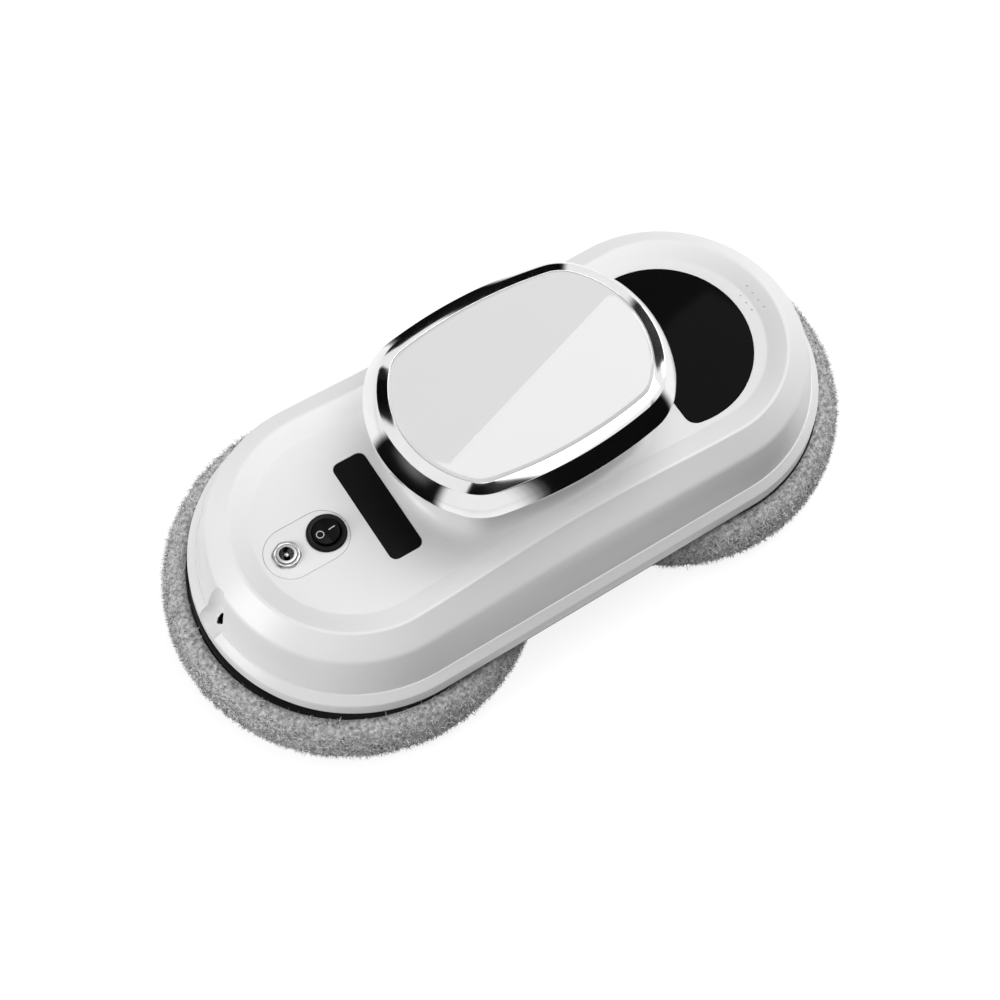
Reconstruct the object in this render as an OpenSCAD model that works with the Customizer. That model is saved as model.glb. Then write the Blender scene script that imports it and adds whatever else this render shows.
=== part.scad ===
// Window cleaning robot with two turning discs. Millimetres, +Z away from the glass.
// X runs along the body: plug socket and switch at -X, dark sensor window at +X.

/* [Body] */
// Distance between the centres of the two round ends
lobe_spacing = 142.4; // [138:0.2:146]
// Width of the body over its upright rim
body_w = 127.2; // [125:0.2:130]
// Height of the chassis underside above the glass
ride_h = 22.6; // [22.4:0.1:25]
// Height of the black edge below the white shell
edge_h = 3.1; // [2.8:0.1:4]
// Height of the upright rim
rim_h = 5.4; // [5:0.1:7]
// Inward run of the bevel above the rim
bevel_w = 3.2; // [2.4:0.1:3.6]
// Rise of the bevel above the rim
bevel_h = 2.9; // [2.4:0.1:3.6]
// Inward run of the steep flank
flank_w = 5.2; // [4:0.1:6]
// Rise of the steep flank
flank_h = 19.3; // [18:0.1:24]
// Inward run of the shoulder below the lip
shoulder_w = 8; // [7:0.1:9]
// Rise of the shoulder below the lip
shoulder_h = 6.4; // [5.6:0.1:8]
// Width of the sloping band inside the lip
dish_w = 9.1; // [7:0.1:9.4]
// Depth of the deck below the lip
dish_depth = 2.2; // [1.4:0.1:3]
// Thickness of the moulded walls
wall = 2.4; // [2:0.1:3]

/* [Turret] */
// Length of the turret cap
cap_l = 116.6; // [112:0.2:120]
// Width of the turret cap
cap_w = 85.2; // [83:0.2:88]
// Corner radius of the turret cap
cap_corner_r = 24; // [21:0.5:27]
// Height of the cap's lower edge above the deck
cap_lift = 32.4; // [30:0.1:36]
// Overhang of the cap beyond the neck
cap_overhang = 12; // [11:0.1:13]
// Radius of the flare where the neck meets the deck
flare_r = 7.4; // [5:0.1:7.5]
// Height of the chrome ring's outer face
ring_h = 8.1; // [7:0.1:10]
// Inward slope of the chrome ring's outer face
ring_slope = 5.1; // [4.8:0.1:5.6]
// Thickness of the top glass
glass_t = 2; // [1.6:0.1:2.4]

/* [Cleaning discs] */
// Distance between the two disc axes
disc_spacing = 147.6; // [147.2:0.1:149]
// Outer diameter of the cloth ring
cloth_d = 146.8; // [144:0.1:147]
// Opening inside the cloth ring
cloth_bore = 102; // [98:0.5:104]
// Height of the cloth ring
cloth_h = 12.6; // [12:0.1:12.8]
// Teeth of the gear on the disc
gear_teeth = 60; // [58:1:62]
// Teeth of the motor pinion
pinion_teeth = 18; // [17:1:19]
// Gear module
gear_mod = 1; // [0.98:0.01:1.02]

/* [Fan] */
// Diameter of the impeller
impeller_d = 54; // [48:0.5:56]
// Height of the impeller
impeller_h = 9.4; // [8:0.1:10]
// Blades on the impeller
impeller_blades = 9; // [7:1:12]
// Diameter of the fan motor
fan_motor_d = 36; // [32:0.5:38]

/* [Controls] */
// Diameter of the switch bezel
switch_d = 15.2; // [15:0.1:15.8]
// Distance from the switch to the plug socket
jack_spacing = 16.7; // [16.4:0.1:17]
// Tilt of the rocker at rest
rocker_tilt = 7; // [4:0.5:8]
// Length of the bare rating plate
plate_l = 45; // [40:0.5:48]
// Width of the bare rating plate
plate_w = 13.6; // [11:0.1:13.6]
// Radius of the sensor window's round end
window_r = 35.4; // [33:0.1:35.6]
// Diameter of the safety rope hole
rope_hole_d = 3.4; // [2.6:0.1:4]

/* [Hidden] */
$fn = 96;

// Clearances
over = 1;
seat_gap = 0.05;
fit_gap = 0.15;
run_gap = 0.06;
end_gap = 0.3;

// Colours
white = [0.93, 0.93, 0.92];
black = [0.05, 0.05, 0.055];
steel = [0.74, 0.74, 0.76];

// Heights that stack up from the glass
lobe_x = lobe_spacing / 2;
disc_x = disc_spacing / 2;
rim_r = body_w / 2;
floor_t = 2.5;
floor_z = ride_h + floor_t;
rim_z = ride_h + edge_h;
bevel_z = rim_z + rim_h;
flank_z = bevel_z + bevel_h;
shoulder_z = flank_z + flank_h;
lip_z = shoulder_z + shoulder_h;
deck_z = lip_z - dish_depth;
cap_z = deck_z + cap_lift;

// Radii of the shell's outline from the lobe axis
rim_draft = 0.3;
groove_w = 0.8;
groove_d = 0.6;
bevel_r = rim_r - rim_draft - bevel_w;
flank_r = bevel_r - groove_w;
shoulder_r = flank_r - flank_w;
lip_r = shoulder_r - shoulder_w;
lip_flat = 1.6;
dish_r = lip_r - dish_w;
flank_lean_share = 0.18;
flank_rise_share = 0.62;
shoulder_lean_share = 0.3;
shoulder_rise_share = 0.82;

// Chassis
plate_inset = 0.4;
spigot_t = 1.6;
spigot_h = 3;
hub_r = 18;
hub_bore_r = 14.5;
hub_end_z = 9.3;
post_r = 3.6;
pilot_r = 1.1;
body_screw_r = 1.05;
screw_head_r = 2.6;
screw_head_t = 1.4;
screw_reach = 9;
boss_in = 7.4;
waist_screw_x = 24;
end_screw_a = 48;

// Cloth rings and the rings that carry them
cloth_r = cloth_d / 2;
cloth_in_r = cloth_bore / 2;
carrier_t = 3;
carrier_inset = 9.4;
carrier_ledge = 5;
carrier_out_r = cloth_r - carrier_inset;
carrier_in_r = cloth_in_r - carrier_ledge;
cloth_edge_share = 0.5;
cloth_foot_out_share = 0.9;
cloth_foot_in_share = 1.1;
cloth_top_share = 0.93;
soft_gap = 0.3;
lug_r = 2.5;
lug_pitch_r = (carrier_out_r + carrier_in_r) / 2;
lugs = 6;

// Drive discs
disc_t = 2.6;
disc_inset = 2;
disc_r = carrier_out_r - disc_inset;
disc_z = cloth_h;
bush_t = 1.6;
sleeve_t = 4;
bush_in_r = hub_r + run_gap;
bush_r = bush_in_r + bush_t;
sleeve_in_r = bush_r + seat_gap;
sleeve_r = sleeve_in_r + sleeve_t;
sleeve_top_z = ride_h - end_gap;
spoke_in_r = 34;
disc_band = 13;
spoke_out_r = disc_r - disc_band;
spoke_w = 7;
spokes = 6;
disc_lip_h = 2;
disc_lip_t = 2;

// Gears
pressure_a = 20;
backlash_a = 0.35;
gear_h = 5;
gear_z = disc_z + disc_t;
gear_r = gear_mod * gear_teeth / 2;
pinion_r = gear_mod * pinion_teeth / 2;
mesh_gap = 0.12;
mesh_c = gear_r + pinion_r + mesh_gap;
mesh_a = 60;
tip_share = 0.96;
root_share = 1.25;
pinion_z = gear_z + end_gap;
pinion_hub_r = 4.6;
pinion_hub_h = 1.2;
shaft_r = 2;
shaft_in_motor = 7;

// Drive motors
motor_r = 12;
motor_can_r = 10.8;
motor_base_h = 11;
motor_can_h = 15;
motor_cap_r = 4.5;
motor_cap_h = 1.4;
nose_r = 5;
nose_h = 2.3;
motor_screw_r = 1.05;
motor_screw_x = 8.4;
motor_head_r = 1.8;
motor_head_t = 0.9;
motor_screw_reach = 6;
motor_x = disc_x - mesh_c * cos(mesh_a);
motor_y = mesh_c * sin(mesh_a);

// Suction grilles
grille_r = 22.4;
grille_t = 2;
grille_ring_w = 1.5;
grille_slot_w = 1.9;
grille_core_r = 2.6;
grille_spokes = 6;
grille_spoke_w = 1.6;
grille_z = hub_end_z - grille_t;
grille_screw_r = 0.9;
grille_head_r = 1.7;
grille_head_t = 1;
grille_screw_reach = 5;
grille_screws_n = 3;
hub_mid_r = (hub_r + hub_bore_r) / 2;

// Suction duct and fan
duct_h = 8;
duct_t = 1.6;
duct_r = 17.5;
duct_top_z = floor_z + duct_h;
inlet_r = 13;
impeller_r = impeller_d / 2;
housing_gap = 2.4;
housing_t = 1.6;
housing_r = impeller_r + housing_gap + housing_t;
impeller_lift = 0.6;
impeller_z = duct_top_z + housing_t + impeller_lift;
shroud_t = 0.8;
impeller_back_t = 1.2;
impeller_hub_r = 5;
blade_t = 0.9;
blade_start_r = 9;
blade_sweep_a = 52;
blade_steps = 7;
housing_top_z = impeller_z + impeller_h + impeller_lift;
ear_r = 4.2;
ear_t = 2.4;
ear_pitch_r = housing_r + ear_r - housing_t;
housing_screw_r = 1.05;
housing_screw_reach = 6;
diffuser_t = 2.4;
diffuser_rim = 3.4;
diffuser_slots = 8;
diffuser_rib_w = 2.4;
motor_seat_h = 3;
fan_shaft_r = 2;
fan_motor_z = housing_top_z + diffuser_t;
fan_motor_h = 28;
fan_nose_r = 5;
fan_motor_r = fan_motor_d / 2;
fan_bell_r = 6;
fan_bell_h = 1.6;
fan_rim = 1.5;
fan_bore_depth = 6;

// Turret cap
cap_a = cap_l / 2;
cap_b = cap_w / 2;
corner_x_share = 0.82;
corner_y_share = 0.86;
corner_x = (cap_a - cap_corner_r) * corner_x_share;
corner_y = (cap_b - cap_corner_r) * corner_y_share;
end_cx = (pow(cap_a - cap_corner_r, 2) - pow(corner_x, 2) - pow(corner_y, 2))
    / (2 * (cap_a - cap_corner_r - corner_x));
end_cr = cap_a - end_cx;
side_cy = (pow(cap_b - cap_corner_r, 2) - pow(corner_x, 2) - pow(corner_y, 2))
    / (2 * (cap_b - cap_corner_r - corner_y));
side_cr = cap_b - side_cy;
end_half_a = atan2(corner_y, corner_x - end_cx);
side_half_a = atan2(corner_x, corner_y - side_cy);
neck_in = cap_overhang;
foot_t = 0.3;
pan_t = 1.4;
pan_inset = 0.5;
pan_rib_t = 1.8;
ring_skin = 2.6;
ring_bulge_share = 0.42;
ring_bevel_w = 4.1;
ring_bevel_h = 1.5;
ring_ledge_w = 2.4;
ring_ledge_t = 1.5;
glass_in = ring_slope + ring_bevel_w;
glass_bevel = 0.5;
glass_seat_z = cap_z + ring_h + ring_bevel_h - glass_t + glass_bevel;
pan_rib_in = ring_skin + 2 * fit_gap + ring_slope * ring_bulge_share * pan_rib_t / ring_h;
cap_boss_r = 3.4;
cap_screw_r = 1.05;
cap_screw_head_r = 2.2;
cap_screw_head_t = 1.2;
cap_screw_reach = 6;
cap_screw_out = 7.6;
cap_screw_a = 55;
cap_screw_x = corner_x + cap_screw_out * cos(cap_screw_a);
cap_screw_y = corner_y + cap_screw_out * sin(cap_screw_a);
boss_drop = 10;
vent_w = 2.2;
vent_h = 11;
vent_drop = 4;
vent_step_a = 13;
vent_pitch = 5.4;
vent_side_n = 7;
vent_end_n = 5;

// Controls
switch_gap = 11.2;
switch_x = -lobe_x - switch_gap;
jack_x = switch_x - jack_spacing;
control_r = 10.4;
control_t = 1.4;
control_in = 2;
control_z = deck_z;
switch_r = switch_d / 2;
switch_flange_h = 1.2;
switch_flange_w = 1.1;
switch_body_r = switch_r - switch_flange_w;
switch_wall = 1;
switch_well_r = switch_body_r - switch_wall;
switch_depth = 13;
well_depth = 4.6;
rocker_gap = 0.5;
rocker_r = switch_well_r - rocker_gap;
rocker_core = 0.9;
rocker_pin_r = 0.8;
rocker_pin_in = 0.5;
rocker_pivot_drop = 0.2;
pivot_z = control_z + switch_flange_h - rocker_pivot_drop;
rocker_low = 1.3;
terminal_w = 3;
terminal_t = 0.6;
terminal_h = 3.4;
terminal_x = 3;
jack_r = 3.9;
jack_bore_r = 2.75;
jack_stand = 1.7;
jack_depth = 12;
jack_floor = 2;
jack_pin_r = 1.05;
jack_pin_drop = 0.6;
nut_d = 10;
nut_t = 1.3;
nut_round_share = 1.08;
nut_chamfer_share = 0.3;

// Plates let into the deck
label_x = -61;
plate_shift = 10.2;
plate_x = -lobe_x + plate_shift;
plate_t = 0.6;
plate_proud = 0.1;
plate_corner_r = 3;
window_t = 1.8;
window_proud = 0.3;
window_shift = 3.2;
window_flat = 11;
window_corner_r = 5;
window_x = lobe_x - window_shift;
peep_r = 9;
receiver_shift = 8.5;
receiver_x = window_x + receiver_shift;
receiver_y = -5.4;
receiver_board = 14;
receiver_board_t = 1;
receiver_eye_r = 3;
receiver_eye_h = 2;
receiver_leg = 1;

// Microphone holes
mic_r = 0.55;
mic_pitch = 3.75;
mic_in = 36;
mic_row = 4.4;
mic_y = -0.9;
buzzer_r = 5.5;
buzzer_h = 4.6;

// Boards and battery
board_t = 1.6;
board_lift = 2.5;
board_l = 50;
board_w = 52;
board_in = 4;
board_r = 3;
board_shift = 21.6;
board_x = -lobe_x - board_shift;
board_z = duct_top_z + board_lift;
board_hole_r = 1.6;
chip_h = 1.6;
chip_l = 9;
chip_w = 12;
coil_r = 4;
coil_h = 3;
chip_x = 15;
chip_y = 14;
cell_d = 14.2;
cell_l = 48;
cell_gap = 0.4;
cells = 3;
tray_t = 1.6;
tray_wall_h = 8;
tray_shift = 20.8;
tray_x = lobe_x + tray_shift;
tray_leg_r = 3;
button_r = 3;
button_h = 0.8;

// Notch for the safety rope
notch_r = 9;
notch_floor = 4.6;
notch_y = 1;
notch_out = 0.4;
notch_x = -lobe_x - rim_r - notch_out;
notch_dip_share = 0.2;
rope_rise = 5.6;
rope_y = -1;

// Points of a quadratic curve
function quad(a, b, c, n) =
    [for (i = [0 : n]) let (t = i / n) a * (1 - t) * (1 - t) + b * 2 * t * (1 - t) + c * t * t];
// An open line moved to its left by d, with mitred corners
function unit(v) = v / norm(v);
function left_of(v) = [-v[1], v[0]];
function moved(p, d) = [for (i = [0 : len(p) - 1])
    let (
        m = len(p) - 1,
        n1 = left_of(unit(p[max(i, 1)] - p[max(i, 1) - 1])),
        n2 = left_of(unit(p[min(i, m - 1) + 1] - p[min(i, m - 1)])),
        h = unit(n1 + n2)
    ) p[i] + h * d / (h * n1)];
function reversed(p) = [for (i = [len(p) - 1 : -1 : 0]) p[i]];

// Outer line of the shell, from the rim's lower edge to the start of the flat deck
flank_line = quad([flank_r, flank_z],
    [flank_r - flank_w * flank_lean_share, flank_z + flank_h * flank_rise_share],
    [shoulder_r, shoulder_z], 6);
shoulder_line = quad([shoulder_r, shoulder_z],
    [shoulder_r - shoulder_w * shoulder_lean_share, shoulder_z + shoulder_h * shoulder_rise_share],
    [lip_r, lip_z], 6);
dish_line = [for (i = [0 : 5]) let (t = i / 5)
    [lip_r - lip_flat - (dish_w - lip_flat) * t, lip_z - dish_depth * (1 - cos(180 * t)) / 2]];
function tail(p) = [for (i = [1 : len(p) - 1]) p[i]];
rim_line = [[rim_r, rim_z], [rim_r - rim_draft, bevel_z], [bevel_r, flank_z],
    [bevel_r - groove_w / 2, flank_z - groove_d], [flank_r, flank_z]];
plain_line = [[rim_r, rim_z], [rim_r - rim_draft, bevel_z], [flank_r, flank_z]];
top_line = concat(tail(flank_line), tail(shoulder_line), dish_line);
outer_line = concat(rim_line, top_line, [[0, deck_z]]);
inner_line = concat([[rim_r - wall, rim_z]],
    tail(moved(concat(plain_line, top_line, [[0, deck_z]]), wall)));

// Sweeps an outline round the body: half turns at the ends and straight runs between
module track(a) {
    for (s = [0, 180]) rotate([0, 0, s])
        translate([a, 0, 0]) rotate([0, 0, -90]) rotate_extrude(angle = 180) children();
    rotate([90, 0, 90]) linear_extrude(2 * a, center = true) {
        children();
        mirror([1, 0]) children();
    }
}
// Flat racetrack of half length a and end radius r
module track_flat(a, r) {
    for (s = [-1, 1]) translate([s * a, 0]) circle(r);
    square([2 * a, 2 * r], center = true);
}
module slab(z, h) translate([0, 0, z]) linear_extrude(h) children();
module turned() rotate([0, 0, 180]) children();
module at_disc() translate([-disc_x, 0, 0]) children();
module at_motor() translate([-motor_x, motor_y, 0]) children();

// Points round the turret's outline, moved outward by u
function arc_points(c, r, a0, a1, n) =
    [for (i = [0 : n - 1]) let (a = a0 + (a1 - a0) * i / n) [c[0] + r * cos(a), c[1] + r * sin(a)]];
function oval_half(u) = concat(
    arc_points([end_cx, 0], end_cr + u, -end_half_a, end_half_a, 8),
    arc_points([corner_x, corner_y], cap_corner_r + u, end_half_a, 90 - side_half_a, 6),
    arc_points([0, side_cy], side_cr + u, 90 - side_half_a, 90 + side_half_a, 8),
    arc_points([-corner_x, corner_y], cap_corner_r + u, 90 + side_half_a, 180 - end_half_a, 6));
function oval_points(u) = let (h = oval_half(u)) concat(h, [for (q = h) -q]);
module oval(u = 0) polygon(oval_points(u));
// Carries a closed outline round the turret; its x is measured outward from the cap's lower edge
module oval_sweep(p) {
    n = len(p);
    m = len(oval_points(0));
    rings = [for (q = p) oval_points(q[0])];
    polyhedron(
        points = [for (k = [0 : m - 1], i = [0 : n - 1]) [rings[i][k][0], rings[i][k][1], p[i][1]]],
        faces = [for (k = [0 : m - 1], i = [0 : n - 1], t = [0, 1])
            let (k2 = (k + 1) % m, i2 = (i + 1) % n)
            t == 0 ? [k * n + i, k2 * n + i2, k2 * n + i] : [k * n + i, k * n + i2, k2 * n + i2]]);
}
// A solid stack of turret outlines, from the lowest to the highest
module oval_stack(p) {
    n = len(p);
    m = len(oval_points(0));
    polyhedron(
        points = [for (q = p, v = oval_points(q[0])) [v[0], v[1], q[1]]],
        faces = concat(
            [[for (k = [0 : m - 1]) k]],
            [[for (k = [m - 1 : -1 : 0]) (n - 1) * m + k]],
            [for (i = [0 : n - 2], k = [0 : m - 1], t = [0, 1])
                let (k2 = (k + 1) % m, a = i * m + k, b = i * m + k2)
                t == 0 ? [a, a + m, b + m] : [a, b + m, b]]));
}

// Involute gear
function inv_a(rb, r) = r <= rb ? 0 : sqrt(pow(r / rb, 2) - 1) * 180 / PI - acos(rb / r);
function tooth(z, rp, rb, rr, ra) =
    let (
        half = 90 / z - backlash_a / 2 + inv_a(rb, rp),
        lo = max(rb, rr),
        rs = concat(rr < rb ? [rr] : [], [for (i = [0 : 4]) lo + (ra - lo) * i / 4])
    ) concat([for (r = rs) [r, -(half - inv_a(rb, r))]],
             [for (r = reversed(rs)) [r, half - inv_a(rb, r)]]);
module gear_flat(z) {
    rp = gear_mod * z / 2;
    one = tooth(z, rp, rp * cos(pressure_a), rp - gear_mod * root_share, rp + gear_mod * tip_share);
    polygon([for (i = [0 : z - 1], q = one)
        let (a = q[1] + 360 * i / z) [q[0] * cos(a), q[0] * sin(a)]]);
}

// Screw places
module at_waist_screws()
    for (x = [-1, 1], y = [-1, 1]) translate([x * waist_screw_x, y * (rim_r - boss_in), 0]) children();
module at_end_screws()
    for (s = [0, 180], a = [-end_screw_a, end_screw_a]) rotate([0, 0, s])
        translate([lobe_x, 0, 0]) rotate([0, 0, a]) translate([rim_r - boss_in, 0, 0]) children();
module at_body_screws() {
    at_waist_screws() children();
    at_end_screws() children();
}
module at_cap_screws()
    for (x = [-1, 1], y = [-1, 1]) translate([x * cap_screw_x, y * cap_screw_y, 0]) children();
module at_ears() for (a = [45 : 90 : 315]) rotate([0, 0, a]) translate([ear_pitch_r, 0, 0]) children();
module at_grille_screws()
    for (i = [0 : grille_screws_n - 1]) rotate([0, 0, 360 * i / grille_screws_n])
        translate([hub_mid_r, 0, 0]) children();
module pin_z(r, z0, z1) translate([0, 0, z0]) cylinder(r = r, h = z1 - z0);
module screw(r, head_r, head_t, z, reach) {
    pin_z(head_r, z - head_t, z);
    pin_z(r, z - head_t / 2, z + reach);
}

module vent() translate([0, -vent_w / 2, cap_z - pan_t - vent_drop - vent_h])
    cube([4 * wall, vent_w, vent_h]);
module vents() {
    for (s = [0, 180]) rotate([0, 0, s]) {
        for (i = [-(vent_side_n - 1) / 2 : (vent_side_n - 1) / 2])
            translate([i * vent_pitch, cap_b - neck_in - 3 * wall, 0]) rotate([0, 0, 90]) vent();
        for (i = [-(vent_end_n - 1) / 2 : (vent_end_n - 1) / 2])
            translate([cap_a - neck_in - 3 * wall, i * vent_pitch, 0]) vent();
    }
}
module at_mic()
    for (k = [0 : 6]) let (row = k < 4 ? 1 : 0, i = row == 1 ? k - 1.5 : k - 5)
        translate([lobe_x + mic_in + row * mic_row, mic_y + i * mic_pitch, 0]) children();
module window_flat_shape(g = 0) {
    rc = window_corner_r;
    px = -window_flat + rc;
    py = sqrt(pow(window_r - rc, 2) - px * px);
    tx = px * (window_r - g) / (window_r - rc);
    intersection() {
        circle(window_r - g);
        translate([tx, -window_r]) square([2 * window_r, 2 * window_r]);
    }
    for (s = [-1, 1]) translate([px, s * py]) circle(rc - g);
    translate([-window_flat + g, -py]) square([window_flat, 2 * py]);
}
module plate_shape(g = 0) {
    square([plate_w - 2 * plate_corner_r, plate_l - 2 * g], center = true);
    square([plate_w - 2 * g, plate_l - 2 * plate_corner_r], center = true);
    for (x = [-1, 1], y = [-1, 1])
        translate([x * (plate_w / 2 - plate_corner_r), y * (plate_l / 2 - plate_corner_r)])
            circle(plate_corner_r - g);
}
module control_shape(g = 0) {
    xa = jack_x + control_in;
    xb = switch_x - control_in;
    for (x = [xa, xb]) translate([x, 0]) circle(control_r - g);
    translate([xa, -control_r + g]) square([xb - xa, 2 * (control_r - g)]);
}
module notch() translate([notch_x, notch_y, rim_z + notch_floor]) {
    cylinder(r = notch_r, h = lip_z);
    intersection() {
        sphere(r = notch_r);
        translate([-notch_r, -notch_r, -notch_r * notch_dip_share])
            cube([2 * notch_r, 2 * notch_r, lip_z]);
    }
}

module top_shell() color(white) {
    difference() {
        union() {
            track(lobe_x) polygon(concat(outer_line, reversed(inner_line)));
            // Back of the rope notch
            intersection() {
                track(lobe_x) polygon(concat([[0, rim_z]], outer_line));
                translate([notch_x, notch_y, rim_z + notch_floor - wall])
                    cylinder(r = notch_r + wall, h = deck_z - rim_z - notch_floor);
            }
            // Screw bosses
            intersection() {
                track(lobe_x) polygon(concat([[0, floor_z], [rim_r - wall, floor_z]], outer_line));
                at_body_screws() pin_z(post_r, floor_z, lip_z);
            }
        }
        slab(deck_z - wall - over, wall + 2 * over) oval(-neck_in - wall);
        notch();
        translate([notch_x, rope_y, rim_z + notch_floor + rope_rise]) rotate([0, 90, 0])
            cylinder(d = rope_hole_d, h = notch_r + 3 * wall);
        at_body_screws() pin_z(pilot_r, floor_z - over, floor_z + screw_reach);
        translate([plate_x, 0, 0]) slab(deck_z - plate_t + plate_proud, over) plate_shape();
        translate([window_x, 0, 0]) slab(deck_z - window_t + window_proud, window_t + dish_depth)
            window_flat_shape();
        translate([receiver_x, receiver_y, 0]) pin_z(peep_r, deck_z - wall - over, deck_z);
        slab(control_z - control_t, control_t + over) control_shape();
        translate([switch_x, 0, 0]) pin_z(switch_body_r + fit_gap, deck_z - 2 * wall, deck_z);
        translate([jack_x, 0, 0]) pin_z(jack_r + fit_gap, deck_z - 2 * wall, deck_z);
        at_mic() pin_z(mic_r, deck_z - 2 * wall, lip_z + over);
    }
}

module turret_neck() color(white) difference() {
    top = cap_z - pan_t;
    union() {
        oval_sweep(concat(
            [[-neck_in - wall, deck_z], [-neck_in + flare_r, deck_z]],
            [for (a = [250 : -20 : 190]) [flare_r - neck_in + flare_r * cos(a), deck_z + foot_t + flare_r * (1 + sin(a))]],
            [[-neck_in, deck_z + foot_t + flare_r], [-neck_in, top], [-neck_in - wall, top]]));
        intersection() {
            at_cap_screws() pin_z(cap_boss_r, top - boss_drop, top);
            slab(deck_z, cap_lift) oval(-neck_in - wall / 2);
        }
    }
    at_cap_screws() pin_z(pilot_r, top - cap_screw_reach, cap_z);
    vents();
}

module base_plate() color(black) {
    spigot_r = rim_r - wall - fit_gap;
    difference() {
        union() {
            slab(ride_h, floor_t) track_flat(lobe_x, rim_r - plate_inset);
            slab(ride_h, edge_h) difference() {
                track_flat(lobe_x, rim_r - plate_inset);
                track_flat(lobe_x, spigot_r - spigot_t);
            }
            slab(ride_h, edge_h + spigot_h) difference() {
                track_flat(lobe_x, spigot_r - rim_draft);
                track_flat(lobe_x, spigot_r - spigot_t);
            }
            for (s = [-1, 1]) translate([s * disc_x, 0, 0]) pin_z(hub_r, hub_end_z, ride_h + over);
            at_ears() pin_z(post_r, ride_h, duct_top_z);
            for (x = [-1, 1], y = [-1, 1])
                translate([board_x + x * (board_l / 2 - board_in), y * (board_w / 2 - board_in), 0])
                    pin_z(board_r, ride_h, board_z);
        }
        for (s = [-1, 1]) translate([s * disc_x, 0, 0]) pin_z(hub_bore_r, hub_end_z - over, floor_z + over);
        for (s = [0, 180]) rotate([0, 0, s]) {
            at_disc() at_grille_screws()
                pin_z(grille_screw_r + seat_gap, hub_end_z - over, hub_end_z + grille_screw_reach + seat_gap);
            at_motor() {
                pin_z(nose_r + seat_gap, ride_h - over, floor_z + over);
                for (x = [-1, 1]) translate([x * motor_screw_x, 0, 0])
                    pin_z(motor_screw_r + fit_gap, ride_h - over, floor_z + over);
            }
        }
        at_body_screws() {
            pin_z(body_screw_r + fit_gap, ride_h - over, floor_z + spigot_h + over);
            pin_z(screw_head_r + fit_gap, ride_h - over, ride_h + screw_head_t / 2);
            pin_z(post_r + fit_gap, floor_z, floor_z + spigot_h + over);
        }
        at_ears() pin_z(housing_screw_r + seat_gap, duct_top_z - housing_screw_reach - seat_gap, duct_top_z + over);
        translate([notch_x, notch_y, 0]) pin_z(notch_r + wall + seat_gap, rim_z, rim_z + spigot_h + over);
        for (x = [-1, 1], y = [-1, 1])
            translate([board_x + x * (board_l / 2 - board_in), y * (board_w / 2 - board_in), 0])
                pin_z(pilot_r, board_z - housing_screw_reach, board_z + over);
    }
}

module body_screws() color(steel) at_body_screws() {
    pin_z(screw_head_r, ride_h - screw_head_t / 2, ride_h + screw_head_t / 2);
    pin_z(body_screw_r, ride_h, floor_z + screw_reach - over);
}

module cap_base() color(white) difference() {
    union() {
        slab(cap_z - pan_t, pan_t) oval(-pan_inset);
        slab(cap_z - pan_t, pan_t + pan_rib_t) difference() {
            oval(-pan_rib_in);
            oval(-pan_rib_in - pan_rib_t);
        }
    }
    at_cap_screws() pin_z(cap_screw_r + fit_gap, cap_z - pan_t - over, cap_z + over);
}
module cap_screws() color(steel) at_cap_screws() {
    pin_z(cap_screw_r, cap_z - pan_t - cap_screw_reach + over, cap_z + cap_screw_head_t / 2);
    pin_z(cap_screw_head_r, cap_z, cap_z + cap_screw_head_t);
}

module chrome_ring() color([0.8, 0.8, 0.82]) {
    s = ring_slope;
    w = glass_in;
    in_z = ring_h + ring_bevel_h;
    seat_z = glass_seat_z - cap_z;
    outer = quad([0, 0], [-s * ring_bulge_share * ring_bulge_share, ring_h * (1 - ring_bulge_share / 2)],
        [-s, ring_h], 6);
    skin = moved(outer, ring_skin);
    translate([0, 0, cap_z]) oval_sweep(concat(outer,
        [[-w, in_z], [-w, seat_z], [-w - ring_ledge_w, seat_z],
         [-w - ring_ledge_w, seat_z - ring_ledge_t], [-w + over, seat_z - ring_ledge_t]],
        [for (p = reversed(skin)) if (p[1] < seat_z - ring_ledge_t && p[1] > over) p],
        [[-ring_skin, 0]]));
}
module cap_glass() color([0.88, 0.88, 0.88]) {
    g = -glass_in - fit_gap;
    oval_stack([[g, glass_seat_z], [g, glass_seat_z + glass_t - glass_bevel],
        [g - glass_bevel, glass_seat_z + glass_t]]);
}

module sensor_window() color([0.02, 0.015, 0.02])
    translate([window_x, 0, 0]) slab(deck_z - window_t + window_proud, window_t) window_flat_shape(fit_gap);
module rating_plate() color([0.03, 0.03, 0.03])
    translate([plate_x, 0, 0]) slab(deck_z - plate_t + plate_proud, plate_t) plate_shape(fit_gap);
module control_plate() color(white) slab(control_z - control_t, control_t) difference() {
    control_shape(fit_gap);
    translate([switch_x, 0]) circle(switch_body_r + fit_gap);
    translate([jack_x, 0]) circle(jack_r + fit_gap);
}

module switch_body() color([0.06, 0.06, 0.06]) difference() {
    translate([switch_x, 0, 0]) union() {
        translate([0, 0, control_z]) rotate_extrude() polygon([[0, 0], [switch_r, 0],
            [switch_r, switch_flange_h / 2], [switch_r - switch_flange_h / 2, switch_flange_h],
            [0, switch_flange_h]]);
        pin_z(switch_body_r, control_z - switch_depth, control_z + switch_flange_h / 2);
    }
    translate([switch_x, 0, 0]) pin_z(switch_well_r, pivot_z - well_depth, control_z + switch_flange_h + over);
    translate([switch_x, 0, pivot_z]) rotate([90, 0, 0])
        cylinder(r = rocker_pin_r + run_gap, h = 2 * (switch_well_r + rocker_pin_in + end_gap), center = true);
}
module switch_terminals() color([0.8, 0.66, 0.4])
    for (s = [-1, 1]) translate([switch_x + s * terminal_x - terminal_t / 2, -terminal_w / 2,
        control_z - switch_depth - terminal_h]) cube([terminal_t, terminal_w, terminal_h]);
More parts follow.
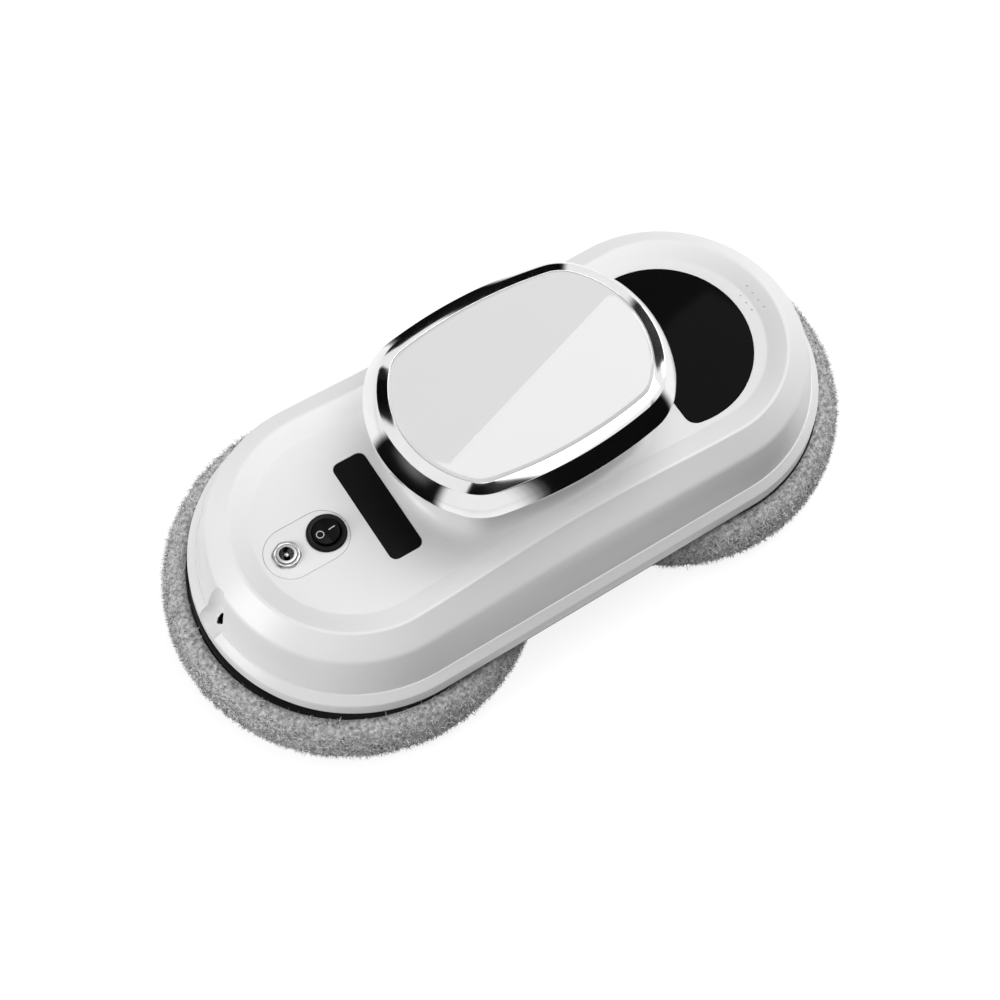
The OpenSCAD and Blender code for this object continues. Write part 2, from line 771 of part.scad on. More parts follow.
module rocker() color([0.04, 0.04, 0.04]) translate([switch_x, 0, pivot_z]) rotate([0, -rocker_tilt, 0]) {
    rise = rocker_r * tan(rocker_tilt);
    intersection() {
        rotate([90, 0, 0]) linear_extrude(2 * rocker_r, center = true) polygon([
            [-rocker_r, rocker_core + rise], [0, rocker_core], [rocker_r, rocker_core + rise],
            [rocker_r, -rocker_core / 2], [0, -rocker_low], [-rocker_r, -rocker_core / 2]]);
        cylinder(r = rocker_r, h = 4 * rocker_r, center = true);
    }
    rotate([90, 0, 0]) cylinder(r = rocker_pin_r, h = 2 * (switch_well_r + rocker_pin_in), center = true);
}

module jack_socket() color([0.62, 0.62, 0.64]) translate([jack_x, 0, 0]) difference() {
    pin_z(jack_r, control_z - jack_depth, control_z + jack_stand);
    pin_z(jack_bore_r, control_z - jack_depth + jack_floor, control_z + jack_stand + over);
}
module jack_pin() color([0.8, 0.7, 0.45]) translate([jack_x, 0, 0])
    pin_z(jack_pin_r, control_z - jack_depth + jack_floor, control_z + jack_stand - jack_pin_drop);
module jack_nut() color(steel) translate([jack_x, 0, control_z]) difference() {
    intersection() {
        cylinder(d = nut_d / cos(30), h = nut_t, $fn = 6);
        rotate_extrude() polygon([[0, 0], [nut_d / 2 * nut_round_share, 0],
            [nut_d / 2 * nut_round_share, nut_t * (1 - nut_chamfer_share)],
            [nut_d / 2 * nut_round_share - nut_t * nut_chamfer_share, nut_t], [0, nut_t]]);
    }
    pin_z(jack_r + seat_gap, -over, nut_t + over);
}

module suction_duct() color([0.12, 0.12, 0.13]) difference() {
    slab(floor_z, duct_h) track_flat(disc_x, duct_r);
    slab(floor_z - over, duct_h - duct_t + over) track_flat(disc_x, duct_r - duct_t);
    pin_z(inlet_r, floor_z, duct_top_z + over);
}
module fan_housing() color([0.16, 0.16, 0.17]) difference() {
    union() {
        pin_z(housing_r, duct_top_z, housing_top_z);
        at_ears() pin_z(ear_r, duct_top_z, duct_top_z + ear_t);
        for (a = [45, 135]) rotate([0, 0, a]) translate([0, 0, duct_top_z + ear_t / 2])
            cube([2 * ear_pitch_r, 2 * ear_r, ear_t], center = true);
    }
    pin_z(housing_r - housing_t, duct_top_z + housing_t, housing_top_z + over);
    pin_z(inlet_r, duct_top_z - over, housing_top_z);
    at_ears() pin_z(housing_screw_r + fit_gap, duct_top_z - over, duct_top_z + ear_t + over);
}
module housing_screws() color(steel) {
    at_ears() {
        pin_z(housing_screw_r, duct_top_z - housing_screw_reach, duct_top_z + ear_t + screw_head_t / 2);
        pin_z(screw_head_r - motor_head_t / 2, duct_top_z + ear_t, duct_top_z + ear_t + screw_head_t);
    }
}
module diffuser() color([0.16, 0.16, 0.17]) difference() {
    union() {
        pin_z(housing_r, housing_top_z, fan_motor_z);
        difference() {
            pin_z(fan_motor_r + duct_t, housing_top_z, fan_motor_z + motor_seat_h);
            pin_z(fan_motor_r + seat_gap, fan_motor_z, fan_motor_z + motor_seat_h + over);
        }
    }
    pin_z(fan_nose_r, housing_top_z - over, fan_motor_z + over);
    difference() {
        pin_z(housing_r - diffuser_rim, housing_top_z - over, fan_motor_z + over);
        pin_z(fan_motor_r + duct_t, housing_top_z - 2 * over, fan_motor_z + 2 * over);
        for (i = [0 : diffuser_slots / 2 - 1]) rotate([0, 0, 180 * i / (diffuser_slots / 2)])
            translate([0, 0, housing_top_z]) cube([2 * housing_r, diffuser_rib_w, 3 * diffuser_t], center = true);
    }
}
module fan_motor() color([0.55, 0.56, 0.58]) difference() {
    union() {
        translate([0, 0, fan_motor_z]) rotate_extrude() polygon([[0, 0], [fan_motor_r, 0],
            [fan_motor_r, fan_motor_h - fan_rim], [fan_motor_r - fan_rim, fan_motor_h], [0, fan_motor_h]]);
        pin_z(fan_bell_r, fan_motor_z + fan_motor_h - over, fan_motor_z + fan_motor_h + fan_bell_h);
    }
    pin_z(fan_shaft_r + run_gap, fan_motor_z - over, fan_motor_z + fan_bore_depth + end_gap);
}
module fan_shaft() color(steel)
    pin_z(fan_shaft_r, impeller_z + impeller_back_t, fan_motor_z + fan_bore_depth);
module blade() {
    mid = [for (i = [0 : blade_steps]) let (t = i / blade_steps,
        r = blade_start_r + (impeller_r + over - blade_start_r) * t, a = -blade_sweep_a * t)
        [r * cos(a), r * sin(a)]];
    linear_extrude(impeller_h - shroud_t / 2 - impeller_back_t / 2)
        polygon(concat(moved(mid, blade_t / 2), reversed(moved(mid, -blade_t / 2))));
}
module impeller() color([0.2, 0.2, 0.22]) difference() {
    union() {
        difference() {
            pin_z(impeller_r, impeller_z, impeller_z + shroud_t);
            pin_z(inlet_r, impeller_z - over, impeller_z + shroud_t + over);
        }
        pin_z(impeller_r, impeller_z + impeller_h - impeller_back_t, impeller_z + impeller_h);
        pin_z(impeller_hub_r, impeller_z + impeller_back_t, impeller_z + impeller_h);
        intersection() {
            for (i = [0 : impeller_blades - 1]) rotate([0, 0, 360 * i / impeller_blades])
                translate([0, 0, impeller_z + shroud_t / 2]) blade();
            pin_z(impeller_r, impeller_z, impeller_z + impeller_h);
        }
    }
    pin_z(fan_shaft_r + seat_gap, impeller_z - over, impeller_z + impeller_h + over);
}

module main_board() color([0.05, 0.3, 0.14]) difference() {
    translate([board_x - board_l / 2, -board_w / 2, board_z]) cube([board_l, board_w, board_t]);
    for (x = [-1, 1], y = [-1, 1])
        translate([board_x + x * (board_l / 2 - board_in), y * (board_w / 2 - board_in), 0])
            pin_z(board_hole_r, board_z - over, board_z + board_t + over);
}
module board_chips() color([0.1, 0.1, 0.1]) translate([board_x, 0, board_z + board_t]) {
    translate([-chip_l / 2, -chip_w / 2, 0]) cube([chip_l, chip_w, chip_h]);
    translate([-chip_x, chip_y, 0]) cylinder(r = coil_r, h = coil_h);
    translate([-chip_x, -chip_y, 0]) cylinder(r = coil_r, h = coil_h);
    translate([chip_x - chip_l / 2, -chip_y, 0]) cube([chip_l, chip_w / 2, chip_h]);
}
module remote_receiver() color([0.15, 0.15, 0.16]) translate([receiver_x, receiver_y, 0]) {
    top = deck_z - window_t + window_proud;
    pin_z(receiver_eye_r, top - receiver_eye_h - receiver_board_t, top);
    translate([-receiver_board / 2, -receiver_board / 2, deck_z - wall - receiver_leg - receiver_board_t])
        cube([receiver_board, receiver_board, receiver_board_t]);
}
module buzzer() color([0.08, 0.08, 0.08])
    translate([lobe_x + mic_in, mic_y, 0]) difference() {
        pin_z(buzzer_r, deck_z - wall - buzzer_h, deck_z - wall);
        pin_z(mic_r * 2, deck_z - wall - buzzer_h / 2, deck_z);
    }

module battery_tray() color([0.12, 0.12, 0.13]) {
    w = cells * (cell_d + cell_gap) + cell_gap + 2 * tray_t;
    l = cell_l + 2 * tray_t + 2 * cell_gap;
    difference() {
        translate([tray_x - l / 2, -w / 2, duct_top_z]) cube([l, w, tray_wall_h + tray_t]);
        translate([tray_x - l / 2 + tray_t, -w / 2 + tray_t, duct_top_z + tray_t])
            cube([l - 2 * tray_t, w - 2 * tray_t, tray_wall_h + over]);
    }
    for (y = [-1, 1]) translate([tray_x + l / 2 - tray_leg_r, y * (w / 2 - tray_leg_r), 0])
        pin_z(tray_leg_r, floor_z, duct_top_z + tray_t / 2);
}
module battery_cells() color([0.1, 0.25, 0.5])
    for (i = [-(cells - 1) / 2 : (cells - 1) / 2])
        translate([tray_x - cell_l / 2, i * (cell_d + cell_gap), duct_top_z + tray_t + cell_d / 2])
            rotate([0, 90, 0]) {
                cylinder(d = cell_d, h = cell_l - button_h);
                cylinder(r = button_r, h = cell_l);
            }

module drive_motor() color([0.6, 0.6, 0.62]) at_motor() difference() {
    union() {
        pin_z(nose_r, floor_z - nose_h, floor_z + over);
        pin_z(motor_r, floor_z, floor_z + motor_base_h);
        pin_z(motor_can_r, floor_z, floor_z + motor_base_h + motor_can_h);
        pin_z(motor_cap_r, floor_z, floor_z + motor_base_h + motor_can_h + motor_cap_h);
    }
    pin_z(shaft_r + run_gap, floor_z - nose_h - over, floor_z + shaft_in_motor + end_gap);
    for (x = [-1, 1]) translate([x * motor_screw_x, 0, 0])
        pin_z(motor_screw_r + seat_gap, floor_z - over, floor_z + motor_screw_reach - floor_t + seat_gap);
}
module drive_motor_left() drive_motor();
module drive_motor_right() turned() drive_motor();
module motor_screws() color(steel) for (s = [0, 180]) rotate([0, 0, s]) at_motor()
    for (x = [-1, 1]) translate([x * motor_screw_x, 0, 0]) screw(motor_screw_r, motor_head_r, motor_head_t, ride_h, motor_screw_reach);

module pinion_shaft() color(steel) at_motor() pin_z(shaft_r, pinion_z, floor_z + shaft_in_motor);
module pinion_shaft_left() pinion_shaft();
module pinion_shaft_right() turned() pinion_shaft();
module pinion() color([0.93, 0.9, 0.8]) at_motor() difference() {
    union() {
        rotate([0, 0, mesh_a + 180 + 180 / pinion_teeth])
            slab(pinion_z, gear_h - end_gap) gear_flat(pinion_teeth);
        pin_z(pinion_hub_r, pinion_z, pinion_z + gear_h + pinion_hub_h);
    }
    pin_z(shaft_r + seat_gap, pinion_z - over, pinion_z + gear_h + pinion_hub_h + over);
}
module pinion_left() pinion();
module pinion_right() turned() pinion();

module disc_gear() color([0.93, 0.9, 0.8]) at_disc() difference() {
    rotate([0, 0, mesh_a]) slab(gear_z, gear_h) gear_flat(gear_teeth);
    pin_z(sleeve_r + seat_gap, gear_z - over, gear_z + gear_h + over);
}
module disc_gear_left() disc_gear();
module disc_gear_right() turned() disc_gear();

module drive_disc() color([0.18, 0.18, 0.19]) at_disc() difference() {
    union() {
        pin_z(disc_r, disc_z, disc_z + disc_t);
        pin_z(sleeve_r, hub_end_z + end_gap, sleeve_top_z);
        difference() {
            pin_z(disc_r, disc_z, disc_z + disc_t + disc_lip_h);
            pin_z(disc_r - disc_lip_t, disc_z, disc_z + disc_t + disc_lip_h + over);
        }
    }
    pin_z(sleeve_in_r, hub_end_z, sleeve_top_z + over);
    for (i = [0 : lugs - 1]) rotate([0, 0, 360 * i / lugs]) translate([lug_pitch_r, 0, 0])
        pin_z(lug_r + fit_gap, disc_z - over, disc_z + disc_t + over);
    difference() {
        pin_z(spoke_out_r, disc_z - over, disc_z + disc_t + over);
        pin_z(spoke_in_r, disc_z - 2 * over, disc_z + disc_t + 2 * over);
        for (i = [0 : spokes / 2 - 1]) rotate([0, 0, 180 * i / (spokes / 2)])
            translate([0, 0, disc_z]) cube([2 * disc_r, spoke_w, 4 * disc_t], center = true);
    }
}
module drive_disc_left() drive_disc();
module drive_disc_right() turned() drive_disc();

module hub_bush() color([0.72, 0.55, 0.3]) at_disc() difference() {
    pin_z(bush_r, hub_end_z + end_gap, sleeve_top_z);
    pin_z(bush_in_r, hub_end_z, sleeve_top_z + over);
}
module hub_bush_left() hub_bush();
module hub_bush_right() turned() hub_bush();

module carrier_ring() color([0.2, 0.2, 0.21]) at_disc() {
    difference() {
        pin_z(carrier_out_r, disc_z - carrier_t, disc_z);
        pin_z(carrier_in_r, disc_z - carrier_t - over, disc_z + over);
    }
    for (i = [0 : lugs - 1]) rotate([0, 0, 360 * i / lugs]) translate([lug_pitch_r, 0, 0])
        pin_z(lug_r, disc_z - carrier_t / 2, disc_z + disc_t);
}
module carrier_ring_left() carrier_ring();
module carrier_ring_right() turned() carrier_ring();

module cloth_ring() color([0.6, 0.6, 0.6]) at_disc() rotate_extrude() {
    seat_r = carrier_out_r + soft_gap;
    seat_z = disc_z - carrier_t - soft_gap / 2;
    mid_z = cloth_h * cloth_edge_share;
    polygon(concat(
        quad([cloth_r * cloth_foot_out_share, 0], [cloth_r, 0], [cloth_r, mid_z], 6),
        tail(quad([cloth_r, mid_z], [cloth_r, cloth_h], [cloth_r * cloth_top_share, cloth_h], 6)),
        [[seat_r, cloth_h], [seat_r, seat_z], [cloth_in_r, seat_z]],
        tail(quad([cloth_in_r, seat_z], [cloth_in_r, 0], [cloth_in_r * cloth_foot_in_share, 0], 5))));
}
module cloth_ring_left() cloth_ring();
module cloth_ring_right() turned() cloth_ring();

module suction_grille() color(black) at_disc() difference() {
    pin_z(grille_r, grille_z, hub_end_z);
    intersection() {
        union() for (i = [0 : 2]) let (r = grille_core_r + i * (grille_ring_w + grille_slot_w)) difference() {
            pin_z(r + grille_slot_w, grille_z - over, hub_end_z + over);
            pin_z(r, grille_z - 2 * over, hub_end_z + 2 * over);
        }
        difference() {
            pin_z(grille_r, grille_z - over, hub_end_z + over);
            for (i = [0 : grille_spokes / 2 - 1]) rotate([0, 0, 180 * i / (grille_spokes / 2)])
                translate([0, 0, grille_z]) cube([2 * grille_r, grille_spoke_w, 4 * grille_t], center = true);
        }
    }
    at_grille_screws() pin_z(grille_screw_r + fit_gap, grille_z - over, hub_end_z + over);
}
module suction_grille_left() suction_grille();
module suction_grille_right() turned() suction_grille();
module grille_screws() color(steel) for (s = [0, 180]) rotate([0, 0, s]) at_disc() at_grille_screws()
    screw(grille_screw_r, grille_head_r, grille_head_t, grille_z, grille_t + grille_screw_reach);

top_shell();
turret_neck();
base_plate();
body_screws();
cap_base();
cap_screws();
chrome_ring();
cap_glass();
sensor_window();
rating_plate();
control_plate();
switch_body();
switch_terminals();
rocker();
jack_socket();
jack_pin();
jack_nut();
suction_duct();
fan_housing();
housing_screws();
diffuser();
fan_motor();
fan_shaft();
impeller();
main_board();
board_chips();
remote_receiver();
buzzer();
battery_tray();
battery_cells();
drive_motor_left();
drive_motor_right();
motor_screws();
pinion_shaft_left();
pinion_shaft_right();
pinion_left();
pinion_right();
drive_disc_left();
drive_disc_right();
disc_gear_left();
disc_gear_right();
hub_bush_left();
hub_bush_right();
carrier_ring_left();
carrier_ring_right();
cloth_ring_left();
cloth_ring_right();
suction_grille_left();
suction_grille_right();
grille_screws();
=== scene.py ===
import math
import random

import bmesh
import bpy
from mathutils import Matrix, Vector, noise


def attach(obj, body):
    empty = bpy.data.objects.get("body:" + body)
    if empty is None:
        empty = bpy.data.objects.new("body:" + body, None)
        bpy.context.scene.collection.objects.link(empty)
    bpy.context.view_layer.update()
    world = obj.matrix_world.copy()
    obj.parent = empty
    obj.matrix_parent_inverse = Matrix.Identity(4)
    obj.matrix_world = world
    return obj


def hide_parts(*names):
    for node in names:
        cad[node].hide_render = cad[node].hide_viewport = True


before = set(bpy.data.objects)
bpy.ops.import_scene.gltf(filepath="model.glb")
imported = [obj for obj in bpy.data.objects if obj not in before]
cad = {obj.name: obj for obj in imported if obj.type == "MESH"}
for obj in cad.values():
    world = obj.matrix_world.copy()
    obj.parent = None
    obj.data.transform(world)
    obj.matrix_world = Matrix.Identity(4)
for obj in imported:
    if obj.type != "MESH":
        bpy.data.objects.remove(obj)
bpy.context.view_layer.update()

# Camera. The picture was taken from high above the switch end, a little to the
# left of the long side that faces us, with the camera held slightly tilted.
mm = 0.001
camera_azimuth = math.radians(-38.5)
camera_elevation = math.radians(64.3)
camera_roll = math.radians(6.1)
camera_distance = 722.4 * mm
focal_pixels = 1781.5
axis_pixel = (509.1, 494.0)
picture_size = 1000
towards_camera = Vector((
    math.sin(camera_azimuth) * math.cos(camera_elevation),
    -math.cos(camera_azimuth) * math.cos(camera_elevation),
    math.sin(camera_elevation)))
level_right = Vector((math.cos(camera_azimuth), math.sin(camera_azimuth), 0))
level_up = towards_camera.cross(level_right)
camera_right = math.cos(camera_roll) * level_right + math.sin(camera_roll) * level_up
camera_up = math.cos(camera_roll) * level_up - math.sin(camera_roll) * level_right
lens_data = bpy.data.cameras.new("picture_camera")
film_width = 36
lens_data.sensor_width = film_width
lens_data.lens = film_width * focal_pixels / picture_size
lens_data.shift_x = (picture_size / 2 - axis_pixel[0]) / picture_size
lens_data.shift_y = (axis_pixel[1] - picture_size / 2) / picture_size
lens_data.clip_start = 0.01
camera = bpy.data.objects.new("picture_camera", lens_data)
camera_turn = Matrix((camera_right, camera_up, towards_camera)).transposed().to_4x4()
camera.matrix_world = Matrix.Translation(towards_camera * camera_distance) @ camera_turn
bpy.context.scene.collection.objects.link(camera)
bpy.context.scene.camera = camera
bpy.context.scene.view_settings.view_transform = "Standard"

# White upper shell: one glossy injection moulding with a racetrack plan, an upright rim,
# a bright bevel, a steep flank, a soft shoulder and a dished deck. Screwed on from below.
lobe_x = 71.2 * mm
rim_z = 24.6
deck_z = 57.5 * mm
shell_wall = 2.4 * mm


def wire(tree, *pairs):
    """Joins sockets of a node tree, output first."""
    for a, b in pairs:
        tree.links.new(a, b)


def shader_group(name, inputs, outputs):
    """A node group with named inputs, each with its usual value, and named outputs."""
    group = bpy.data.node_groups.new(name, "ShaderNodeTree")
    for label, kind, value in inputs:
        socket = group.interface.new_socket(label, in_out="INPUT", socket_type=kind)
        socket.default_value = value
    for label, kind in outputs:
        group.interface.new_socket(label, in_out="OUTPUT", socket_type=kind)
    return group


# The skin of every plastic moulding: a faint mottle in the colour, fine spark grain from
# the tool, and the slight unevenness of gloss that handling leaves.
moulding_skin = shader_group(
    "moulding_skin",
    [("Colour", "NodeSocketColor", (0.8, 0.8, 0.8, 1)), ("Mottle", "NodeSocketFloat", 0.03),
     ("Roughness", "NodeSocketFloat", 0.3), ("Unevenness", "NodeSocketFloat", 0.15),
     ("Grain scale", "NodeSocketFloat", 1800.0), ("Grain depth", "NodeSocketFloat", 0.1)],
    [("Colour", "NodeSocketColor"), ("Roughness", "NodeSocketFloat"), ("Normal", "NodeSocketVector")])
skin_nodes = moulding_skin.nodes
skin_in = skin_nodes.new("NodeGroupInput")
skin_out = skin_nodes.new("NodeGroupOutput")
skin_place = skin_nodes.new("ShaderNodeTexCoord")
flow = skin_nodes.new("ShaderNodeTexNoise")
flow.inputs["Scale"].default_value = 46
flow.inputs["Detail"].default_value = 5
handling = skin_nodes.new("ShaderNodeTexNoise")
handling.inputs["Scale"].default_value = 130
handling.inputs["Detail"].default_value = 6
handling.inputs["Roughness"].default_value = 0.62
grain = skin_nodes.new("ShaderNodeTexNoise")
grain.inputs["Detail"].default_value = 2
centred = skin_nodes.new("ShaderNodeMath")
centred.operation = "SUBTRACT"
centred.inputs[1].default_value = 0.5
mottled = skin_nodes.new("ShaderNodeMath")
mottled.operation = "MULTIPLY_ADD"
mottled.inputs[2].default_value = 1
tint = skin_nodes.new("ShaderNodeVectorMath")
tint.operation = "SCALE"
handled = skin_nodes.new("ShaderNodeMath")
handled.operation = "SUBTRACT"
handled.inputs[1].default_value = 0.5
spread = skin_nodes.new("ShaderNodeMath")
spread.operation = "MULTIPLY_ADD"
spread.inputs[2].default_value = 1
gloss = skin_nodes.new("ShaderNodeMath")
gloss.operation = "MULTIPLY"
pits = skin_nodes.new("ShaderNodeBump")
pits.inputs["Distance"].default_value = 0.02 * mm
wire(moulding_skin,
     (skin_place.outputs["Object"], flow.inputs["Vector"]),
     (skin_place.outputs["Object"], handling.inputs["Vector"]),
     (skin_place.outputs["Object"], grain.inputs["Vector"]),
     (skin_in.outputs["Grain scale"], grain.inputs["Scale"]),
     (flow.outputs[0], centred.inputs[0]),
     (centred.outputs[0], mottled.inputs[0]),
     (skin_in.outputs["Mottle"], mottled.inputs[1]),
     (skin_in.outputs["Colour"], tint.inputs[0]),
     (mottled.outputs[0], tint.inputs["Scale"]),
     (tint.outputs[0], skin_out.inputs["Colour"]),
     (handling.outputs[0], handled.inputs[0]),
     (handled.outputs[0], spread.inputs[0]),
     (skin_in.outputs["Unevenness"], spread.inputs[1]),
     (spread.outputs[0], gloss.inputs[0]),
     (skin_in.outputs["Roughness"], gloss.inputs[1]),
     (gloss.outputs[0], skin_out.inputs["Roughness"]),
     (grain.outputs[0], pits.inputs["Height"]),
     (skin_in.outputs["Grain depth"], pits.inputs["Strength"]),
     (pits.outputs["Normal"], skin_out.inputs["Normal"]))


def moulded(name, colour, roughness, mottle=0.03, unevenness=0.3, grain_scale=1800.0, grain_depth=0.1):
    """A finish with the moulding skin; its shader is returned as well, for what only this piece has."""
    finish = bpy.data.materials.new(name)
    finish.use_nodes = True
    tree = finish.node_tree
    shader = tree.nodes["Principled BSDF"]
    skin = tree.nodes.new("ShaderNodeGroup")
    skin.node_tree = moulding_skin
    skin.inputs["Colour"].default_value = (*colour, 1)
    skin.inputs["Mottle"].default_value = mottle
    skin.inputs["Roughness"].default_value = roughness
    skin.inputs["Unevenness"].default_value = unevenness
    skin.inputs["Grain scale"].default_value = grain_scale
    skin.inputs["Grain depth"].default_value = grain_depth
    wire(tree,
         (skin.outputs["Colour"], shader.inputs["Base Color"]),
         (skin.outputs["Roughness"], shader.inputs["Roughness"]),
         (skin.outputs["Normal"], shader.inputs["Normal"]))
    return finish, shader


def finished(name, bm, finish, body, slot_name, *stands_for, sharp=32):
    """Turns a worked mesh into a piece that rides on a body, smooth but for its hard edges."""
    bmesh.ops.remove_doubles(bm, verts=bm.verts, dist=0.004 * mm)
    mesh = bpy.data.meshes.new(name)
    bm.to_mesh(mesh)
    bm.free()
    mesh.shade_smooth()
    mesh.set_sharp_from_angle(angle=math.radians(sharp))
    mesh.materials.append(finish)
    piece = bpy.data.objects.new(name, mesh)
    bpy.context.scene.collection.objects.link(piece)
    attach(piece, body)
    if stands_for:
        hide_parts(*stands_for)
    return piece


def curve(a, b, c, steps):
    """Points of a soft bend from a to c that leans towards b."""
    return [tuple(a[i] * (1 - t) ** 2 + b[i] * 2 * t * (1 - t) + c[i] * t * t for i in (0, 1))
            for t in (k / steps for k in range(steps + 1))]


def eased(line, sizes):
    """The line with the numbered corners turned into small radii."""
    out = []
    for i, p in enumerate(line):
        size = sizes.get(i)
        if not size:
            out.append(p)
            continue
        before, after = Vector(line[i - 1]), Vector(line[i + 1])
        here = Vector(p)
        out += curve(here + (before - here).normalized() * size, here,
                     here + (after - here).normalized() * size, 4)
    return out


lip_r, lip_z = 45.2, 59.7
dish_run, dish_drop, dish_steps = 7.4, 2.2, 8
shell_line = eased(
    [(63.6, rim_z), (63.3, 31.1), (60.0, 34.05), (59.5, 34.05), (57.8, 44.0), (54.6, 53.2), (46.3, 59.65)]
    + [(lip_r - dish_run * k / dish_steps, lip_z - dish_drop * k / dish_steps) for k in range(dish_steps + 1)]
    + [(37.0, 57.5)],
    {1: 0.45, 2: 0.25, 3: 0.2, 4: 7.0, 5: 1.3, 6: 0.35, 7: 0.35, 15: 0.4})
bm = bmesh.new()
profile = [bm.verts.new((lobe_x, -r * mm, z * mm)) for r, z in shell_line]
edges = [bm.edges.new(pair) for pair in zip(profile, profile[1:])]
straight_steps = 28
for side in (1, -1):
    turned = bmesh.ops.spin(bm, geom=edges, cent=(side * lobe_x, 0, 0), axis=(0, 0, 1),
                            angle=math.pi, steps=80)
    edges = [g for g in turned["geom_last"] if isinstance(g, bmesh.types.BMEdge)]
    for step in range(straight_steps):
        run = bmesh.ops.extrude_edge_only(bm, edges=edges)["geom"]
        edges = [g for g in run if isinstance(g, bmesh.types.BMEdge)
                 and all(v in run for v in g.verts)]
        moved_on = list({v for e in edges for v in e.verts})
        bmesh.ops.translate(bm, verts=moved_on, vec=(-side * 2 * lobe_x / straight_steps, 0, 0))
bmesh.ops.remove_doubles(bm, verts=bm.verts, dist=0.004 * mm)
# The lip narrows towards mid-length, most of all at its top.
waist_pinch, pinch_half_l = 2.6 * mm, lobe_x * 1.15
pinch_foot, pinch_height = 46, 13
for v in bm.verts:
    share = math.cos(min(abs(v.co.x) / pinch_half_l, 1) * math.pi / 2) ** 2
    rise = min(max((v.co.z / mm - pinch_foot) / pinch_height, 0), 1)
    v.co.y -= math.copysign(waist_pinch * share * rise * rise * (3 - 2 * rise), v.co.y)
above_flank = 50 * mm
inner_edge = [e for e in bm.edges if e.is_boundary and e.verts[0].co.z > above_flank]
bmesh.ops.edgeloop_fill(bm, edges=inner_edge)
bmesh.ops.recalc_face_normals(bm, faces=bm.faces)
shell_white, _ = moulded("glossy_white_abs", (0.84, 0.84, 0.845), 0.34, mottle=0.015,
                         unevenness=0.4, grain_scale=420, grain_depth=0.1)
top_shell = finished("upper_shell", bm, shell_white, "body", "white_shell", "top_shell", sharp=40)


def rounded_outline(bm, arcs, z):
    """A closed flat outline of arcs (x, y, radius, first and last angle) joined by straight runs."""
    ends = []
    for x, y, r, a0, a1 in arcs:
        start = bm.verts.new((x + r * math.cos(math.radians(a0)), y + r * math.sin(math.radians(a0)), z))
        steps = max(3, int(abs(a1 - a0) / 4))
        spun = bmesh.ops.spin(bm, geom=[start], cent=(x, y, z), axis=(0, 0, 1),
                              angle=math.radians(a1 - a0), steps=steps)
        ends.append((start, next(g for g in spun["geom_last"] if isinstance(g, bmesh.types.BMVert))))
    for k, (_, last) in enumerate(ends):
        bm.edges.new((last, ends[(k + 1) % len(ends)][0]))


def pressed_plate(arcs, z0, z1, edge=0.0, steps=4):
    """A plate of that outline from z0 to z1, its upper edge eased."""
    bm = bmesh.new()
    rounded_outline(bm, arcs, z0)
    bmesh.ops.remove_doubles(bm, verts=bm.verts, dist=0.002 * mm)
    face = bmesh.ops.edgeloop_fill(bm, edges=bm.edges)["faces"]
    top = bmesh.ops.extrude_face_region(bm, geom=face)["geom"]
    bmesh.ops.translate(bm, verts=[g for g in top if isinstance(g, bmesh.types.BMVert)], vec=(0, 0, z1 - z0))
    bmesh.ops.recalc_face_normals(bm, faces=bm.faces)
    if edge:
        rim = [e for e in bm.edges if all(v.co.z > z1 - 1e-7 for v in e.verts)]
        bmesh.ops.bevel(bm, geom=rim, affect="EDGES", offset=edge, segments=steps, profile=0.5, material=-1)
    return bm


def obround(xa, xb, r):
    """Arcs of a slot outline between two centres on the long axis."""
    return [(xb, 0, r, -90, 90), (xa, 0, r, 90, 270)]


def cut_from(piece, cutters, grazing=False):
    """Cuts closed shapes out of a piece and takes the result into its mesh."""
    tools = []
    for k, bm in enumerate(cutters):
        mesh = bpy.data.meshes.new("cutter")
        bm.to_mesh(mesh)
        bm.free()
        tool = bpy.data.objects.new("cutter", mesh)
        bpy.context.scene.collection.objects.link(tool)
        tools.append(tool)
        cut = piece.modifiers.new("cut_%d" % k, "BOOLEAN")
        cut.operation = "DIFFERENCE"
        cut.solver = "EXACT"
        cut.use_self = grazing
        cut.object = tool
    take_result(piece)
    for tool in tools:
        bpy.data.objects.remove(tool)


def take_result(piece, sharp=32):
    """Takes what a piece's modifiers make into its own mesh."""
    graph = bpy.context.evaluated_depsgraph_get()
    mesh = bpy.data.meshes.new_from_object(piece.evaluated_get(graph))
    piece.modifiers.clear()
    piece.data = mesh
    mesh.shade_smooth()
    mesh.set_sharp_from_angle(angle=math.radians(sharp))


def solid_pin(x, y, r, z0, z1, segments=48):
    """A closed round cutter."""
    bm = bmesh.new()
    bmesh.ops.create_cone(bm, cap_ends=True, segments=segments, radius1=r, radius2=r, depth=z1 - z0,
                          matrix=Matrix.Translation((x, y, (z0 + z1) / 2)))
    return bm


# Openings of the shell, moulded with it: the seats of the window, the film and the control
# plate, the sound holes, and at the switch end the scoop with the safety rope's small hole.
switch_x = -82.4 * mm
jack_x = -99.1 * mm
control_r, control_inset = 10.4 * mm, 2 * mm
control_arcs = obround(jack_x + control_inset, switch_x - control_inset, control_r)
plate_x = -61.0 * mm
plate_w, plate_l, plate_corner = 13.6 * mm, 45 * mm, 3 * mm


def plate_outline(w, l, r, x=0.0):
    """Arcs of a rounded rectangle."""
    a, b = w / 2 - r, l / 2 - r
    return [(x + a, b, r, 0, 90), (x - a, b, r, 90, 180), (x - a, -b, r, 180, 270), (x + a, -b, r, 270, 360)]


window_x, window_r, window_flat, window_corner = 68.0 * mm, 35.4 * mm, 11 * mm, 5 * mm


